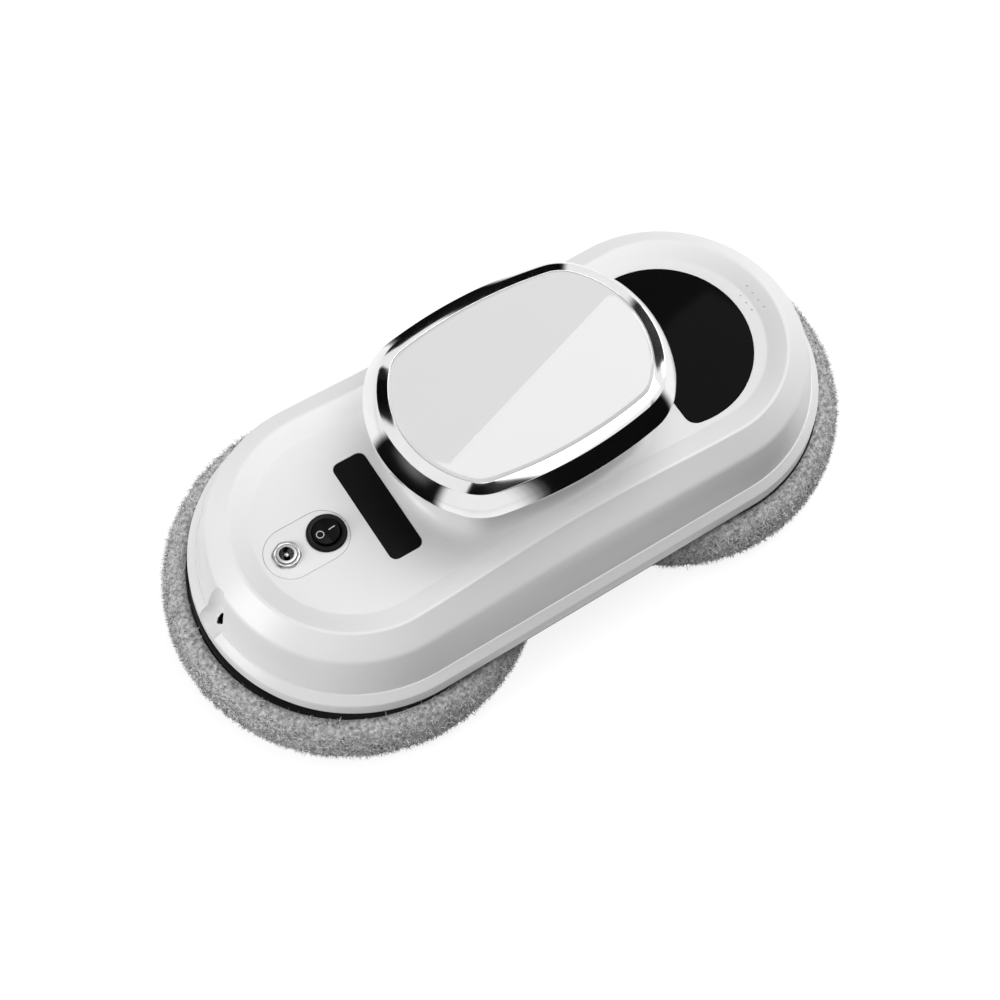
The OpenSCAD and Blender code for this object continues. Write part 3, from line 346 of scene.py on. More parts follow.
def window_outline(gap=0.0):
    """Arcs of the D-shaped window: a large round side and a straight one with round corners."""
    cx = -window_flat + window_corner
    cy = math.sqrt((window_r - window_corner) ** 2 - cx * cx)
    lean = math.degrees(math.atan2(cy, cx))
    return [(window_x, 0, window_r - gap, -lean, lean), (window_x + cx, cy, window_corner - gap, lean, 180),
            (window_x + cx, -cy, window_corner - gap, 180, 360 - lean)]


shell_thickness = top_shell.modifiers.new("wall", "SOLIDIFY")
shell_thickness.thickness = shell_wall
shell_thickness.offset = -1
shell_thickness.use_even_offset = True
take_result(top_shell, 40)
notch_x, notch_y = -135.2 * mm, 1.6 * mm
notch_place = Matrix.Translation((notch_x, notch_y, 0))
notch_oval = Matrix.Diagonal((1.14, 0.74, 1, 1))
hollow = curve((0, 28.5), (9.2, 28.7), (9.0, 35.5), 24) + [(9.0, 35.5 + k * 1.3) for k in range(1, 22)]


def turned_hollow(line, steps):
    """The section of the scoop spun about its upright axis and drawn out to an oval."""
    bm = bmesh.new()
    verts = [bm.verts.new((notch_x + r * mm, notch_y, z * mm)) for r, z in line]
    edges = [bm.edges.new(pair) for pair in zip(verts, verts[1:])]
    bmesh.ops.spin(bm, geom=edges, cent=(notch_x, notch_y, 0), axis=(0, 0, 1),
                   angle=2 * math.pi, steps=steps, use_merge=True)
    bmesh.ops.remove_doubles(bm, verts=bm.verts, dist=0.002 * mm)
    bmesh.ops.transform(bm, verts=bm.verts, matrix=notch_place @ notch_oval @ notch_place.inverted())
    return bm


scoop = turned_hollow(hollow + [(0, 62.8)], 72)
bmesh.ops.recalc_face_normals(scoop, faces=scoop.faces)
over_deck = deck_z + 1 * mm
well_floor = deck_z - 4 * mm
film_seat = deck_z - 0.5 * mm
window_seat = deck_z - 1.5 * mm
receiver_x, receiver_y, receiver_well_r = 76.5 * mm, -5.4 * mm, 9 * mm
cutters = [
    pressed_plate(control_arcs, well_floor, over_deck),
    pressed_plate(plate_outline(plate_w, plate_l, plate_corner, plate_x), film_seat, over_deck),
    pressed_plate(window_outline(), window_seat, deck_z + 4 * mm),
    solid_pin(receiver_x, receiver_y, receiver_well_r, well_floor, deck_z)]
sound_x, sound_y = lobe_x + 36 * mm, -0.9 * mm
sound_hole_r, sound_pitch = 0.45 * mm, 3.75 * mm
sound_row_gap, sound_row_rise = 4.4 * mm, 0.9 * mm
for k in range(7):
    row, place = (1, k - 1.5) if k < 4 else (0, k - 5)
    cutters.append(solid_pin(sound_x + sound_row_gap * row, sound_y + sound_pitch * place, sound_hole_r,
                             film_seat + sound_row_rise * row, deck_z + 5 * mm, 16))
cut_from(top_shell, cutters)
cut_from(top_shell, [scoop], grazing=True)
# The scoop has a thin wall of its own, with an oval hole for the rope in its floor.
lining = turned_hollow([(r + 0.01, z - 0.02) for r, z in hollow], 180)


def out_from_lobe(v):
    """How far a point of the left end lies from the middle of its round, in millimetres."""
    return math.hypot(v.co.x + lobe_x, v.co.y) / mm


rope_hole = Vector((-127.5, 1.6, 30.3)) * mm
rope_hole_size = Vector((2.3, 1.7, 2.6)) * mm
lining_reach, below_skin = 62.3, 1.0


def in_rope_hole(v):
    """Whether a point of the lining lies in the oval hole for the safety rope."""
    return sum(((v.co[i] - rope_hole[i]) / rope_hole_size[i]) ** 2 for i in range(3)) < 1


spare = [v for v in lining.verts if out_from_lobe(v) > lining_reach or in_rope_hole(v)]
bmesh.ops.delete(lining, geom=spare, context="VERTS")
for v in lining.verts:
    out = out_from_lobe(v)
    over = [(a, b) for a, b in zip(shell_line, shell_line[1:]) if b[0] <= out <= a[0]]
    if over:
        a, b = over[-1]
        skin = a[1] + (b[1] - a[1]) * (a[0] - out) / max(a[0] - b[0], 1e-6)
        v.co.z = min(v.co.z, (skin - below_skin) * mm)
bmesh.ops.remove_doubles(lining, verts=lining.verts, dist=0.01 * mm)
bmesh.ops.recalc_face_normals(lining, faces=lining.faces)
hollow_middle = Vector((notch_x, notch_y, 45 * mm))
outward = sum((f.calc_center_median() - hollow_middle).dot(f.normal) * f.calc_area() for f in lining.faces)
if outward > 0:
    bmesh.ops.reverse_faces(lining, faces=lining.faces)
lining_piece = finished("scoop_lining", lining, shell_white, "body", "white_shell")
lining_wall = lining_piece.modifiers.new("wall", "SOLIDIFY")
lining_wall.thickness = 1.4 * mm
lining_wall.offset = -1
take_result(lining_piece)

# Turret neck: a white moulded wall that flares out on the deck round a mouth in the shell and
# lets the fan's air out through upright slots. It is glued down, and carries the cap on four
# screws. Neck and cap are swept round one oval of arcs that meet without a kink.
cap_half_l, cap_half_w, cap_corner = 58.3 * mm, 42.6 * mm, 24 * mm
corner_x, corner_y = 28.126 * mm, 15.996 * mm
end_x = (((cap_half_l - cap_corner) ** 2 - corner_x ** 2 - corner_y ** 2)
         / (2 * (cap_half_l - cap_corner - corner_x)))
side_y = (((cap_half_w - cap_corner) ** 2 - corner_x ** 2 - corner_y ** 2)
          / (2 * (cap_half_w - cap_corner - corner_y)))
end_half = math.atan2(corner_y, corner_x - end_x)
side_half = math.atan2(corner_x, corner_y - side_y)


def swept_round_turret(line, closed=True):
    """Carries a section round the turret; its first number is the distance outside the cap's lower edge."""
    bm = bmesh.new()
    first = Vector((math.cos(-end_half), math.sin(-end_half), 0))
    verts = [bm.verts.new(Vector((end_x, 0, z * mm)) + first * (cap_half_l - end_x + u * mm))
             for u, z in line]
    edges = [bm.edges.new(pair) for pair in zip(verts, verts[1:])]
    if closed:
        edges.append(bm.edges.new((verts[-1], verts[0])))
    corner = math.pi / 2 - side_half - end_half
    for centre, angle, steps in (
            ((end_x, 0, 0), 2 * end_half, 20), ((corner_x, corner_y, 0), corner, 18),
            ((0, side_y, 0), 2 * side_half, 26), ((-corner_x, corner_y, 0), corner, 18),
            ((-end_x, 0, 0), 2 * end_half, 20), ((-corner_x, -corner_y, 0), corner, 18),
            ((0, -side_y, 0), 2 * side_half, 26), ((corner_x, -corner_y, 0), corner, 18)):
        spun = bmesh.ops.spin(bm, geom=edges, cent=centre, axis=(0, 0, 1), angle=angle, steps=steps)
        edges = [g for g in spun["geom_last"] if isinstance(g, bmesh.types.BMEdge)]
    bmesh.ops.remove_doubles(bm, verts=bm.verts, dist=0.004 * mm)
    if not closed:
        bmesh.ops.holes_fill(bm, edges=[e for e in bm.edges if e.is_boundary], sides=0)
    bmesh.ops.recalc_face_normals(bm, faces=bm.faces)
    return bm


neck_inside, neck_top = -14.4, 88.5
cut_from(top_shell, [swept_round_turret([(neck_inside, 52), (neck_inside, 60)], closed=False)])
neck_line = ([(neck_inside, 57.5)] + curve((-4.4, 57.51), (-12, 57.6), (-12, 68), 14)
             + [(-12, neck_top), (neck_inside, neck_top)])
neck = finished("turret_wall", swept_round_turret(neck_line), shell_white, "body", "white_shell",
                "turret_neck")
slot_w, slot_h, slot_z = 2.2 * mm, 11 * mm, 79 * mm
side_slot_pitch, side_slot_y, side_slot_depth = 5.4 * mm, 30 * mm, 12 * mm
end_slot_turn, end_slot_x, end_slot_depth = 13, 45 * mm, 14 * mm
slots = []
for side in (1, -1):
    for k in range(-3, 4):
        bm = bmesh.new()
        place = Matrix.Translation((k * side_slot_pitch, side * side_slot_y, slot_z))
        size = Matrix.Diagonal((slot_w, side_slot_depth, slot_h, 1))
        bmesh.ops.create_cube(bm, size=1, matrix=place @ size)
        slots.append(bm)
    for k in range(-2, 3):
        bm = bmesh.new()
        turn = Matrix.Rotation(math.radians(end_slot_turn * k + (0 if side == 1 else 180)), 4, "Z")
        place = turn @ Matrix.Translation((end_slot_x, 0, slot_z))
        size = Matrix.Diagonal((end_slot_depth, slot_w, slot_h, 1))
        bmesh.ops.create_cube(bm, size=1, matrix=place @ size)
        slots.append(bm)
cut_from(neck, slots)

# Cap of the turret: a flat white pan screwed on the neck, a smoked chrome ring snapped round
# it, and a white backed glass glued into the ring, flush with its upper edge.
pan_z = 89.9
pan_line = [(-0.5, neck_top), (-0.5, pan_z), (-3.4, pan_z), (-3.4, 91.7), (-5.2, 91.7), (-5.2, pan_z)]
pan = swept_round_turret(pan_line, closed=False)
finished("cap_pan", pan, shell_white, "body", "white_shell", "cap_base")
ring_line = eased(
    [(-0.2, pan_z), (0, 90.3)] + curve((-0.1, 91.0), (-2.0, 94.8), (-5.0, 97.9), 12)
    + [(-9.2, 99.5), (-9.2, 98.0), (-11.6, 98.0), (-11.6, 96.5), (-8.6, 96.5), (-3.6, 93.6), (-2.6, pan_z)],
    {14: 0.25, 15: 0.2})
chrome = bpy.data.materials.new("smoked_chrome")
chrome.use_nodes = True
tree = chrome.node_tree
shader = tree.nodes["Principled BSDF"]
shader.inputs["Metallic"].default_value = 1
place = tree.nodes.new("ShaderNodeTexCoord")
haze = tree.nodes.new("ShaderNodeTexNoise")
haze.inputs["Scale"].default_value = 90
haze.inputs["Detail"].default_value = 6
haze_range = tree.nodes.new("ShaderNodeMapRange")
haze_range.inputs["To Min"].default_value = 0.04
haze_range.inputs["To Max"].default_value = 0.11
plating = tree.nodes.new("ShaderNodeValToRGB")
plating.color_ramp.elements[0].position = 0.3
plating.color_ramp.elements[0].color = (0.84, 0.84, 0.85, 1)
plating.color_ramp.elements[1].position = 0.7
plating.color_ramp.elements[1].color = (0.78, 0.78, 0.79, 1)
wire(tree, (place.outputs["Object"], haze.inputs["Vector"]), (haze.outputs[0], haze_range.inputs["Value"]),
     (haze_range.outputs[0], shader.inputs["Roughness"]), (haze.outputs[0], plating.inputs["Fac"]),
     (plating.outputs["Color"], shader.inputs["Base Color"]))
finished("turret_ring", swept_round_turret(ring_line), chrome, "body", "chrome_ring", "chrome_ring", sharp=24)
glass, glass_shader = moulded("white_backed_glass", (0.735, 0.735, 0.74), 0.35, mottle=0.01,
                              unevenness=0.2, grain_depth=0)
glass_shader.inputs["Specular IOR Level"].default_value = 0
glass_shader.inputs["Coat Weight"].default_value = 1
glass_shader.inputs["Coat Roughness"].default_value = 0.015
glass_shader.inputs["Coat IOR"].default_value = 1.52
glass_line = eased([(-9.35, 98.0), (-9.35, 99.35), (-10.55, 100.0), (-12.5, 100.0)], {1: 0.12, 2: 0.15})
finished("turret_glass", swept_round_turret(glass_line, closed=False), glass, "body", "white_glass",
         "cap_glass", sharp=50)

# Sensor window: a D of tinted, polished acrylic glued on a ledge in the deck, its edge
# eased. The infra-red receiver looks out through it.
fit_gap = 0.15 * mm
tinted, tinted_shader = moulded("tinted_acrylic", (0.0035, 0.003, 0.0032), 0.08, mottle=0.2,
                                unevenness=0.3, grain_depth=0)
tinted_shader.inputs["Specular IOR Level"].default_value = 0.02
window = pressed_plate(window_outline(fit_gap), window_seat, deck_z + 0.3 * mm, 0.3 * mm)
finished("dark_window", window, tinted, "body", "dark_window", "sensor_window")

# Bare plate: a thin self-adhesive film, satin black, laid in a shallow seat that is
# moulded into the deck between the switch and the turret.
satin, satin_shader = moulded("black_satin_film", (0.005, 0.005, 0.005), 0.38, mottle=0.25,
                              unevenness=0.35, grain_scale=2600, grain_depth=0.25)
satin_shader.inputs["Specular IOR Level"].default_value = 0.05
film_arcs = plate_outline(plate_w - 2 * fit_gap, plate_l - 2 * fit_gap, plate_corner - fit_gap, plate_x)
plate = pressed_plate(film_arcs, film_seat, deck_z + 0.1 * mm, 0.12 * mm)
finished("bare_plate", plate, satin, "body", "plate_black", "rating_plate")

# Control plate: a white moulded insert round the switch and the inlet, clipped in from
# below; its joint with the deck shows as a thin grey line.
insert_arcs = obround(jack_x + control_inset, switch_x - control_inset, control_r - fit_gap)
control = pressed_plate(insert_arcs, deck_z - 1.4 * mm, deck_z, 0.12 * mm)
control_piece = finished("control_insert", control, shell_white, "body", "white_shell", "control_plate")
switch_hole = solid_pin(switch_x, 0, 6.65 * mm, 55 * mm, 59 * mm, 64)
jack_hole = solid_pin(jack_x, 0, 4.05 * mm, 55 * mm, 59 * mm, 64)
cut_from(control_piece, [switch_hole, jack_hole])


def turned_ring(line, x, y=0.0, closed=True, steps=72):
    """A section of radii and heights spun once round an upright axis."""
    bm = bmesh.new()
    verts = [bm.verts.new((x + r * mm, y, z * mm)) for r, z in line]
    edges = [bm.edges.new(pair) for pair in zip(verts, verts[1:])]
    if closed:
        edges.append(bm.edges.new((verts[-1], verts[0])))
    bmesh.ops.spin(bm, geom=edges, cent=(x, y, 0), axis=(0, 0, 1), angle=2 * math.pi, steps=steps,
                   use_merge=True)
    bmesh.ops.remove_doubles(bm, verts=bm.verts, dist=0.002 * mm)
    bmesh.ops.recalc_face_normals(bm, faces=bm.faces)
    return bm


# Mains switch: a round snap-in body of black nylon with a thin flange, and a two-sided
# rocker on a cross pin. It rests with its off side pressed; both marks are pad printed.
nylon, nylon_shader = moulded("black_nylon", (0.006, 0.006, 0.006), 0.3, mottle=0.2,
                              grain_scale=2400, grain_depth=0.2)
nylon_shader.inputs["Specular IOR Level"].default_value = 0.1
switch_line = eased(
    [(5.5, 52.0), (5.5, 58.55), (7.15, 58.7), (7.6, 58.1), (7.6, 57.5), (6.5, 57.5), (6.5, 44.5), (0, 44.5),
     (0, 52.0)], {1: 0.3, 2: 0.35, 3: 0.15})
finished("switch_housing", turned_ring(switch_line, switch_x), nylon, "body", "switch_black", "switch_body")
rocker_black, rocker_shader = moulded("black_rocker_plastic", (0.005, 0.005, 0.005), 0.24, mottle=0.2,
                                      grain_scale=2400, grain_depth=0.12)
rocker_shader.inputs["Specular IOR Level"].default_value = 0.06
pivot_z = 58.5 * mm
rocker_r = 5.0 * mm
rocker_foot, rocker_face = -1.3 * mm, 0.9 * mm
rocker_tilt = math.radians(7)
rocker_turn = Matrix.Translation((switch_x, 0, pivot_z)) @ Matrix.Rotation(-rocker_tilt, 4, "Y")
bm = bmesh.new()
bmesh.ops.create_circle(bm, cap_ends=True, segments=72, radius=rocker_r,
                        matrix=Matrix.Translation((0, 0, rocker_foot)))
top = bmesh.ops.extrude_face_region(bm, geom=list(bm.faces))["geom"]
bmesh.ops.translate(bm, verts=[g for g in top if isinstance(g, bmesh.types.BMVert)],
                    vec=(0, 0, rocker_face - rocker_foot))
bmesh.ops.bisect_plane(bm, geom=bm.verts[:] + bm.edges[:] + bm.faces[:],
                       plane_co=(0, 0, 0), plane_no=(1, 0, 0))
for v in bm.verts:
    across = abs(v.co.x) / rocker_r
    if v.co.z > 0:
        v.co.z += across * rocker_r * math.tan(rocker_tilt)
    else:
        v.co.z += across * 0.85 * mm
bmesh.ops.recalc_face_normals(bm, faces=bm.faces)
rim = [e for e in bm.edges if all(v.co.z > 0 and v.co.to_2d().length > rocker_r * 0.999 for v in e.verts)]
bmesh.ops.bevel(bm, geom=rim, affect="EDGES", offset=0.25 * mm, segments=3, profile=0.5, material=-1)
bmesh.ops.transform(bm, verts=bm.verts, matrix=rocker_turn)
finished("switch_rocker_cap", bm, rocker_black, "switch_rocker", "rocker_black", "rocker", sharp=20)
mark_white, _ = moulded("printed_white", (0.62, 0.62, 0.62), 0.5, mottle=0.1)
for name, x in (("off_ring", -2.5 * mm), ("on_bar", 2.4 * mm)):
    bm = bmesh.new()
    if name == "off_ring":
        for radius in (1.5 * mm, 1.2 * mm):
            bmesh.ops.create_circle(bm, segments=40, radius=radius)
        bmesh.ops.bridge_loops(bm, edges=bm.edges)
    else:
        bmesh.ops.create_grid(bm, x_segments=1, y_segments=1, size=0.5,
                              matrix=Matrix.Diagonal((2.6 * mm, 0.36 * mm, 1, 1)))
    bmesh.ops.translate(bm, verts=bm.verts, vec=(x, 0, 0))
    for v in bm.verts:
        v.co.z = rocker_face + abs(v.co.x) * math.tan(rocker_tilt) + 0.02 * mm
    bmesh.ops.transform(bm, verts=bm.verts, matrix=rocker_turn)
    bmesh.ops.recalc_face_normals(bm, faces=bm.faces)
    if sum(f.normal.z for f in bm.faces) < 0:
        bmesh.ops.reverse_faces(bm, faces=bm.faces)
    finished(name, bm, mark_white, "switch_rocker", "rocker_black")

# Inlet for the mains adaptor: a nickel-plated barrel with its centre pin, held by a
# chamfered six-sided nut; the turning marks run round its axis.
turning_marks = shader_group(
    "turning_marks",
    [("Centre", "NodeSocketVector", (0, 0, 0)), ("Lines", "NodeSocketFloat", 4000.0),
     ("Depth", "NodeSocketFloat", 0.3)],
    [("Roughness", "NodeSocketFloat"), ("Normal", "NodeSocketVector")])
marks_in = turning_marks.nodes.new("NodeGroupInput")
marks_out = turning_marks.nodes.new("NodeGroupOutput")
marks_place = turning_marks.nodes.new("ShaderNodeTexCoord")
marks_centre = turning_marks.nodes.new("ShaderNodeVectorMath")
marks_centre.operation = "SUBTRACT"
marks_rings = turning_marks.nodes.new("ShaderNodeTexWave")
marks_rings.wave_type = "RINGS"
marks_rings.rings_direction = "Z"
marks_rings.inputs["Distortion"].default_value = 1.5
marks_rings.inputs["Detail"].default_value = 3
marks_range = turning_marks.nodes.new("ShaderNodeMapRange")
marks_range.inputs["To Min"].default_value = 0.14
marks_range.inputs["To Max"].default_value = 0.3
marks_bump = turning_marks.nodes.new("ShaderNodeBump")
marks_bump.inputs["Distance"].default_value = 0.01 * mm
wire(turning_marks,
     (marks_place.outputs["Object"], marks_centre.inputs[0]),
     (marks_in.outputs["Centre"], marks_centre.inputs[1]),
     (marks_centre.outputs[0], marks_rings.inputs["Vector"]),
     (marks_in.outputs["Lines"], marks_rings.inputs["Scale"]),
     (marks_rings.outputs["Fac"], marks_range.inputs["Value"]),
     (marks_range.outputs[0], marks_out.inputs["Roughness"]),
     (marks_rings.outputs["Fac"], marks_bump.inputs["Height"]),
     (marks_in.outputs["Depth"], marks_bump.inputs["Strength"]),
     (marks_bump.outputs["Normal"], marks_out.inputs["Normal"]))


def turned_metal(name, colour, centre, lines=900.0, depth=0.3):
    """A metal finish with turning marks round an upright axis."""
    finish = bpy.data.materials.new(name)
    finish.use_nodes = True
    tree = finish.node_tree
    shader = tree.nodes["Principled BSDF"]
    shader.inputs["Base Color"].default_value = (*colour, 1)
    shader.inputs["Metallic"].default_value = 1
    marks = tree.nodes.new("ShaderNodeGroup")
    marks.node_tree = turning_marks
    marks.inputs["Centre"].default_value = centre
    marks.inputs["Lines"].default_value = lines
    marks.inputs["Depth"].default_value = depth
    wire(tree,
         (marks.outputs["Roughness"], shader.inputs["Roughness"]),
         (marks.outputs["Normal"], shader.inputs["Normal"]))
    return finish


nickel = turned_metal("nickel_plate", (0.36, 0.36, 0.36), (jack_x, 0, 0))
plated_brass = turned_metal("plated_brass", (0.56, 0.56, 0.55), (jack_x, 0, 0))
brass = turned_metal("brass_contact", (0.72, 0.55, 0.28), (jack_x, 0, 0))
barrel_line = eased([(2.75, 59.2), (3.9, 59.2), (3.9, 45.5), (0, 45.5), (0, 47.5), (2.75, 47.5)], {1: 0.3})
finished("inlet_barrel", turned_ring(barrel_line, jack_x), nickel, "body", "nickel", "jack_socket")
pin_line = [(0, 58.6), (0.35, 58.55), (0.8, 58.3), (1.05, 57.7), (1.05, 47.5), (0, 47.5)]
finished("inlet_pin", turned_ring(pin_line, jack_x, steps=32), plated_brass, "body", "brass", "jack_pin")
nut_half_w, nut_height = 5 * mm, 1.3 * mm
bm = bmesh.new()
bmesh.ops.create_circle(bm, cap_ends=False, segments=6, radius=nut_half_w / math.cos(math.radians(30)),
                        matrix=Matrix.Translation((jack_x, 0, deck_z)))
bmesh.ops.edgeloop_fill(bm, edges=bm.edges)
top = bmesh.ops.extrude_face_region(bm, geom=list(bm.faces))["geom"]
bmesh.ops.translate(bm, verts=[g for g in top if isinstance(g, bmesh.types.BMVert)], vec=(0, 0, nut_height))
bmesh.ops.recalc_face_normals(bm, faces=bm.faces)
nut = finished("inlet_nut", bm, nickel, "body", "nickel", "jack_nut")
chamfer = turned_ring([(5.4, 57.0), (5.4, 58.35), (4.8, 58.85), (4.8, 60.5), (8, 60.5), (8, 57.0)], jack_x)
cut_from(nut, [chamfer, solid_pin(jack_x, 0, 3.95 * mm, 56 * mm, 60 * mm, 64)])
nut_edge = nut.modifiers.new("eased_edges", "BEVEL")
nut_edge.width = 0.12 * mm
nut_edge.segments = 2
nut_edge.limit_method = "ANGLE"
take_result(nut, 30)

# Chassis and the parts below it, as the frame has them: black ribbed plate, screws,
# suction grilles, and the inner works in their own plastics and metals.
black_abs, black_shader = moulded("black_abs", (0.009, 0.009, 0.01), 0.42, mottle=0.2,
                                  grain_scale=1500, grain_depth=0.5)
black_shader.inputs["Specular IOR Level"].default_value = 0.12
zinc = turned_metal("zinc_plated_steel", (0.55, 0.56, 0.58), (0, 0, 0), 700)
inner_grey, _ = moulded("inner_grey_abs", (0.1, 0.1, 0.105), 0.5, mottle=0.1,
                        grain_scale=1200, grain_depth=0.5)
motor_can = turned_metal("motor_can_steel", (0.5, 0.5, 0.52), (0, 0, 0), 500)
shaft_steel = turned_metal("ground_shaft_steel", (0.6, 0.6, 0.62), (0, 0, 0), 900)
board_green, _ = moulded("board_green", (0.015, 0.09, 0.035), 0.35, mottle=0.3,
                         grain_scale=3000, grain_depth=0.3)
chip_black, _ = moulded("chip_epoxy", (0.02, 0.02, 0.021), 0.55, mottle=0.3,
                        grain_scale=4000, grain_depth=0.4)
cell_film, _ = moulded("cell_film", (0.02, 0.11, 0.3), 0.28, mottle=0.15,
                       grain_scale=900, grain_depth=0.2)
gear_acetal, _ = moulded("acetal_gear", (0.72, 0.7, 0.64), 0.38, mottle=0.06,
                         grain_scale=1600, grain_depth=0.25)
disc_grey, _ = moulded("disc_black_abs", (0.03, 0.03, 0.032), 0.45, mottle=0.15,
                       grain_scale=1500, grain_depth=0.5)
bronze = turned_metal("sintered_bronze", (0.55, 0.36, 0.2), (0, 0, 0), 600)
for finish, names in (
        (black_abs, "base_plate suction_grille_left suction_grille_right"),
        (zinc, "body_screws cap_screws housing_screws motor_screws grille_screws"),
        (brass, "switch_terminals"),
        (inner_grey, "suction_duct fan_housing diffuser impeller battery_tray"),
        (motor_can, "fan_motor drive_motor_left drive_motor_right"),
        (shaft_steel, "fan_shaft pinion_shaft_left pinion_shaft_right"),
        (board_green, "main_board"),
        (chip_black, "board_chips remote_receiver buzzer"),
        (cell_film, "battery_cells"),
        (gear_acetal, "pinion_left pinion_right disc_gear_left disc_gear_right"),
        (disc_grey, "drive_disc_left drive_disc_right carrier_ring_left carrier_ring_right"),
        (bronze, "hub_bush_left hub_bush_right")):
    for node in names.split():
        for material_slot in cad[node].material_slots:
            material_slot.link = "OBJECT"
            material_slot.material = finish

# Cleaning rings: grey microfibre with a short curled pile on a foam backing, pressed onto
# the carrier rings by hooks. The pile is thick, lies every way and stands out at the edge.
disc_x = 73.8 * mm
pile = bpy.data.materials.new("microfibre_pile")
pile.use_nodes = True
tree = pile.node_tree
shader = tree.nodes["Principled BSDF"]
shader.inputs["Roughness"].default_value = 0.9
shader.inputs["Sheen Weight"].default_value = 0.3
shader.inputs["Sheen Roughness"].default_value = 0.5
place = tree.nodes.new("ShaderNodeTexCoord")
tufts = tree.nodes.new("ShaderNodeTexNoise")
tufts.inputs["Scale"].default_value = 620
tufts.inputs["Detail"].default_value = 5
tufts.inputs["Roughness"].default_value = 0.7
tuft_colour = tree.nodes.new("ShaderNodeValToRGB")
tuft_colour.color_ramp.elements[0].position = 0.36
tuft_colour.color_ramp.elements[0].color = (0.2, 0.2, 0.2, 1)
tuft_colour.color_ramp.elements[1].position = 0.66
tuft_colour.color_ramp.elements[1].color = (0.8, 0.8, 0.8, 1)
tuft_bump = tree.nodes.new("ShaderNodeBump")
tuft_bump.inputs["Distance"].default_value = 0.6 * mm
wire(tree,
     (place.outputs["Object"], tufts.inputs["Vector"]),
     (tufts.outputs[0], tuft_colour.inputs["Fac"]),
     (tuft_colour.outputs["Color"], shader.inputs["Base Color"]),
     (tufts.outputs[0], tuft_bump.inputs["Height"]),
     (tuft_bump.outputs["Normal"], shader.inputs["Normal"]))
fibre = bpy.data.materials.new("microfibre_strand")
fibre.use_nodes = True
tree = fibre.node_tree
shader = tree.nodes["Principled BSDF"]
shader.inputs["Roughness"].default_value = 0.75
shader.inputs["Sheen Weight"].default_value = 0.2
# Strand colour: each strand's own random tone, darkened towards its root as painted shade deep in the pile.
tone_and_root_shade = tree.nodes.new("ShaderNodeAttribute")
tone_and_root_shade.attribute_name = "fibre_tone_and_root_shade"
wire(tree, (tone_and_root_shade.outputs["Color"], shader.inputs["Base Color"]))
foot = curve((66.06, 0), (72.7, 0), (72.7, 7.0), 12)
crown = curve((72.7, 7.0), (72.5, 20.0), (64.9, 20.0), 16)
inside = curve((51, 9.45), (51, 0), (56.1, 0), 8)
ring_section = foot + crown[1:] + [(62.9, 19.4), (62.6, 13.2), (64.3, 12.7), (64.3, 9.45)] + inside
pile_line = [(51.5, 4.0), (52.6, 1.0), (56.1, 0.05)] + foot + crown[1:] + [(63.6, 19.9)]
lengths = [math.dist(a, b) for a, b in zip(pile_line, pile_line[1:])]
strands = 24000
strand_steps = 3
pad_top, pile_foot, pile_top = 20.2 * mm, 0.05 * mm, 22.1 * mm


def any_way(seed):
    """A direction with no lean to any side, of any length."""
    return Vector((seed.gauss(0, 1), seed.gauss(0, 1), seed.gauss(0, 1)))


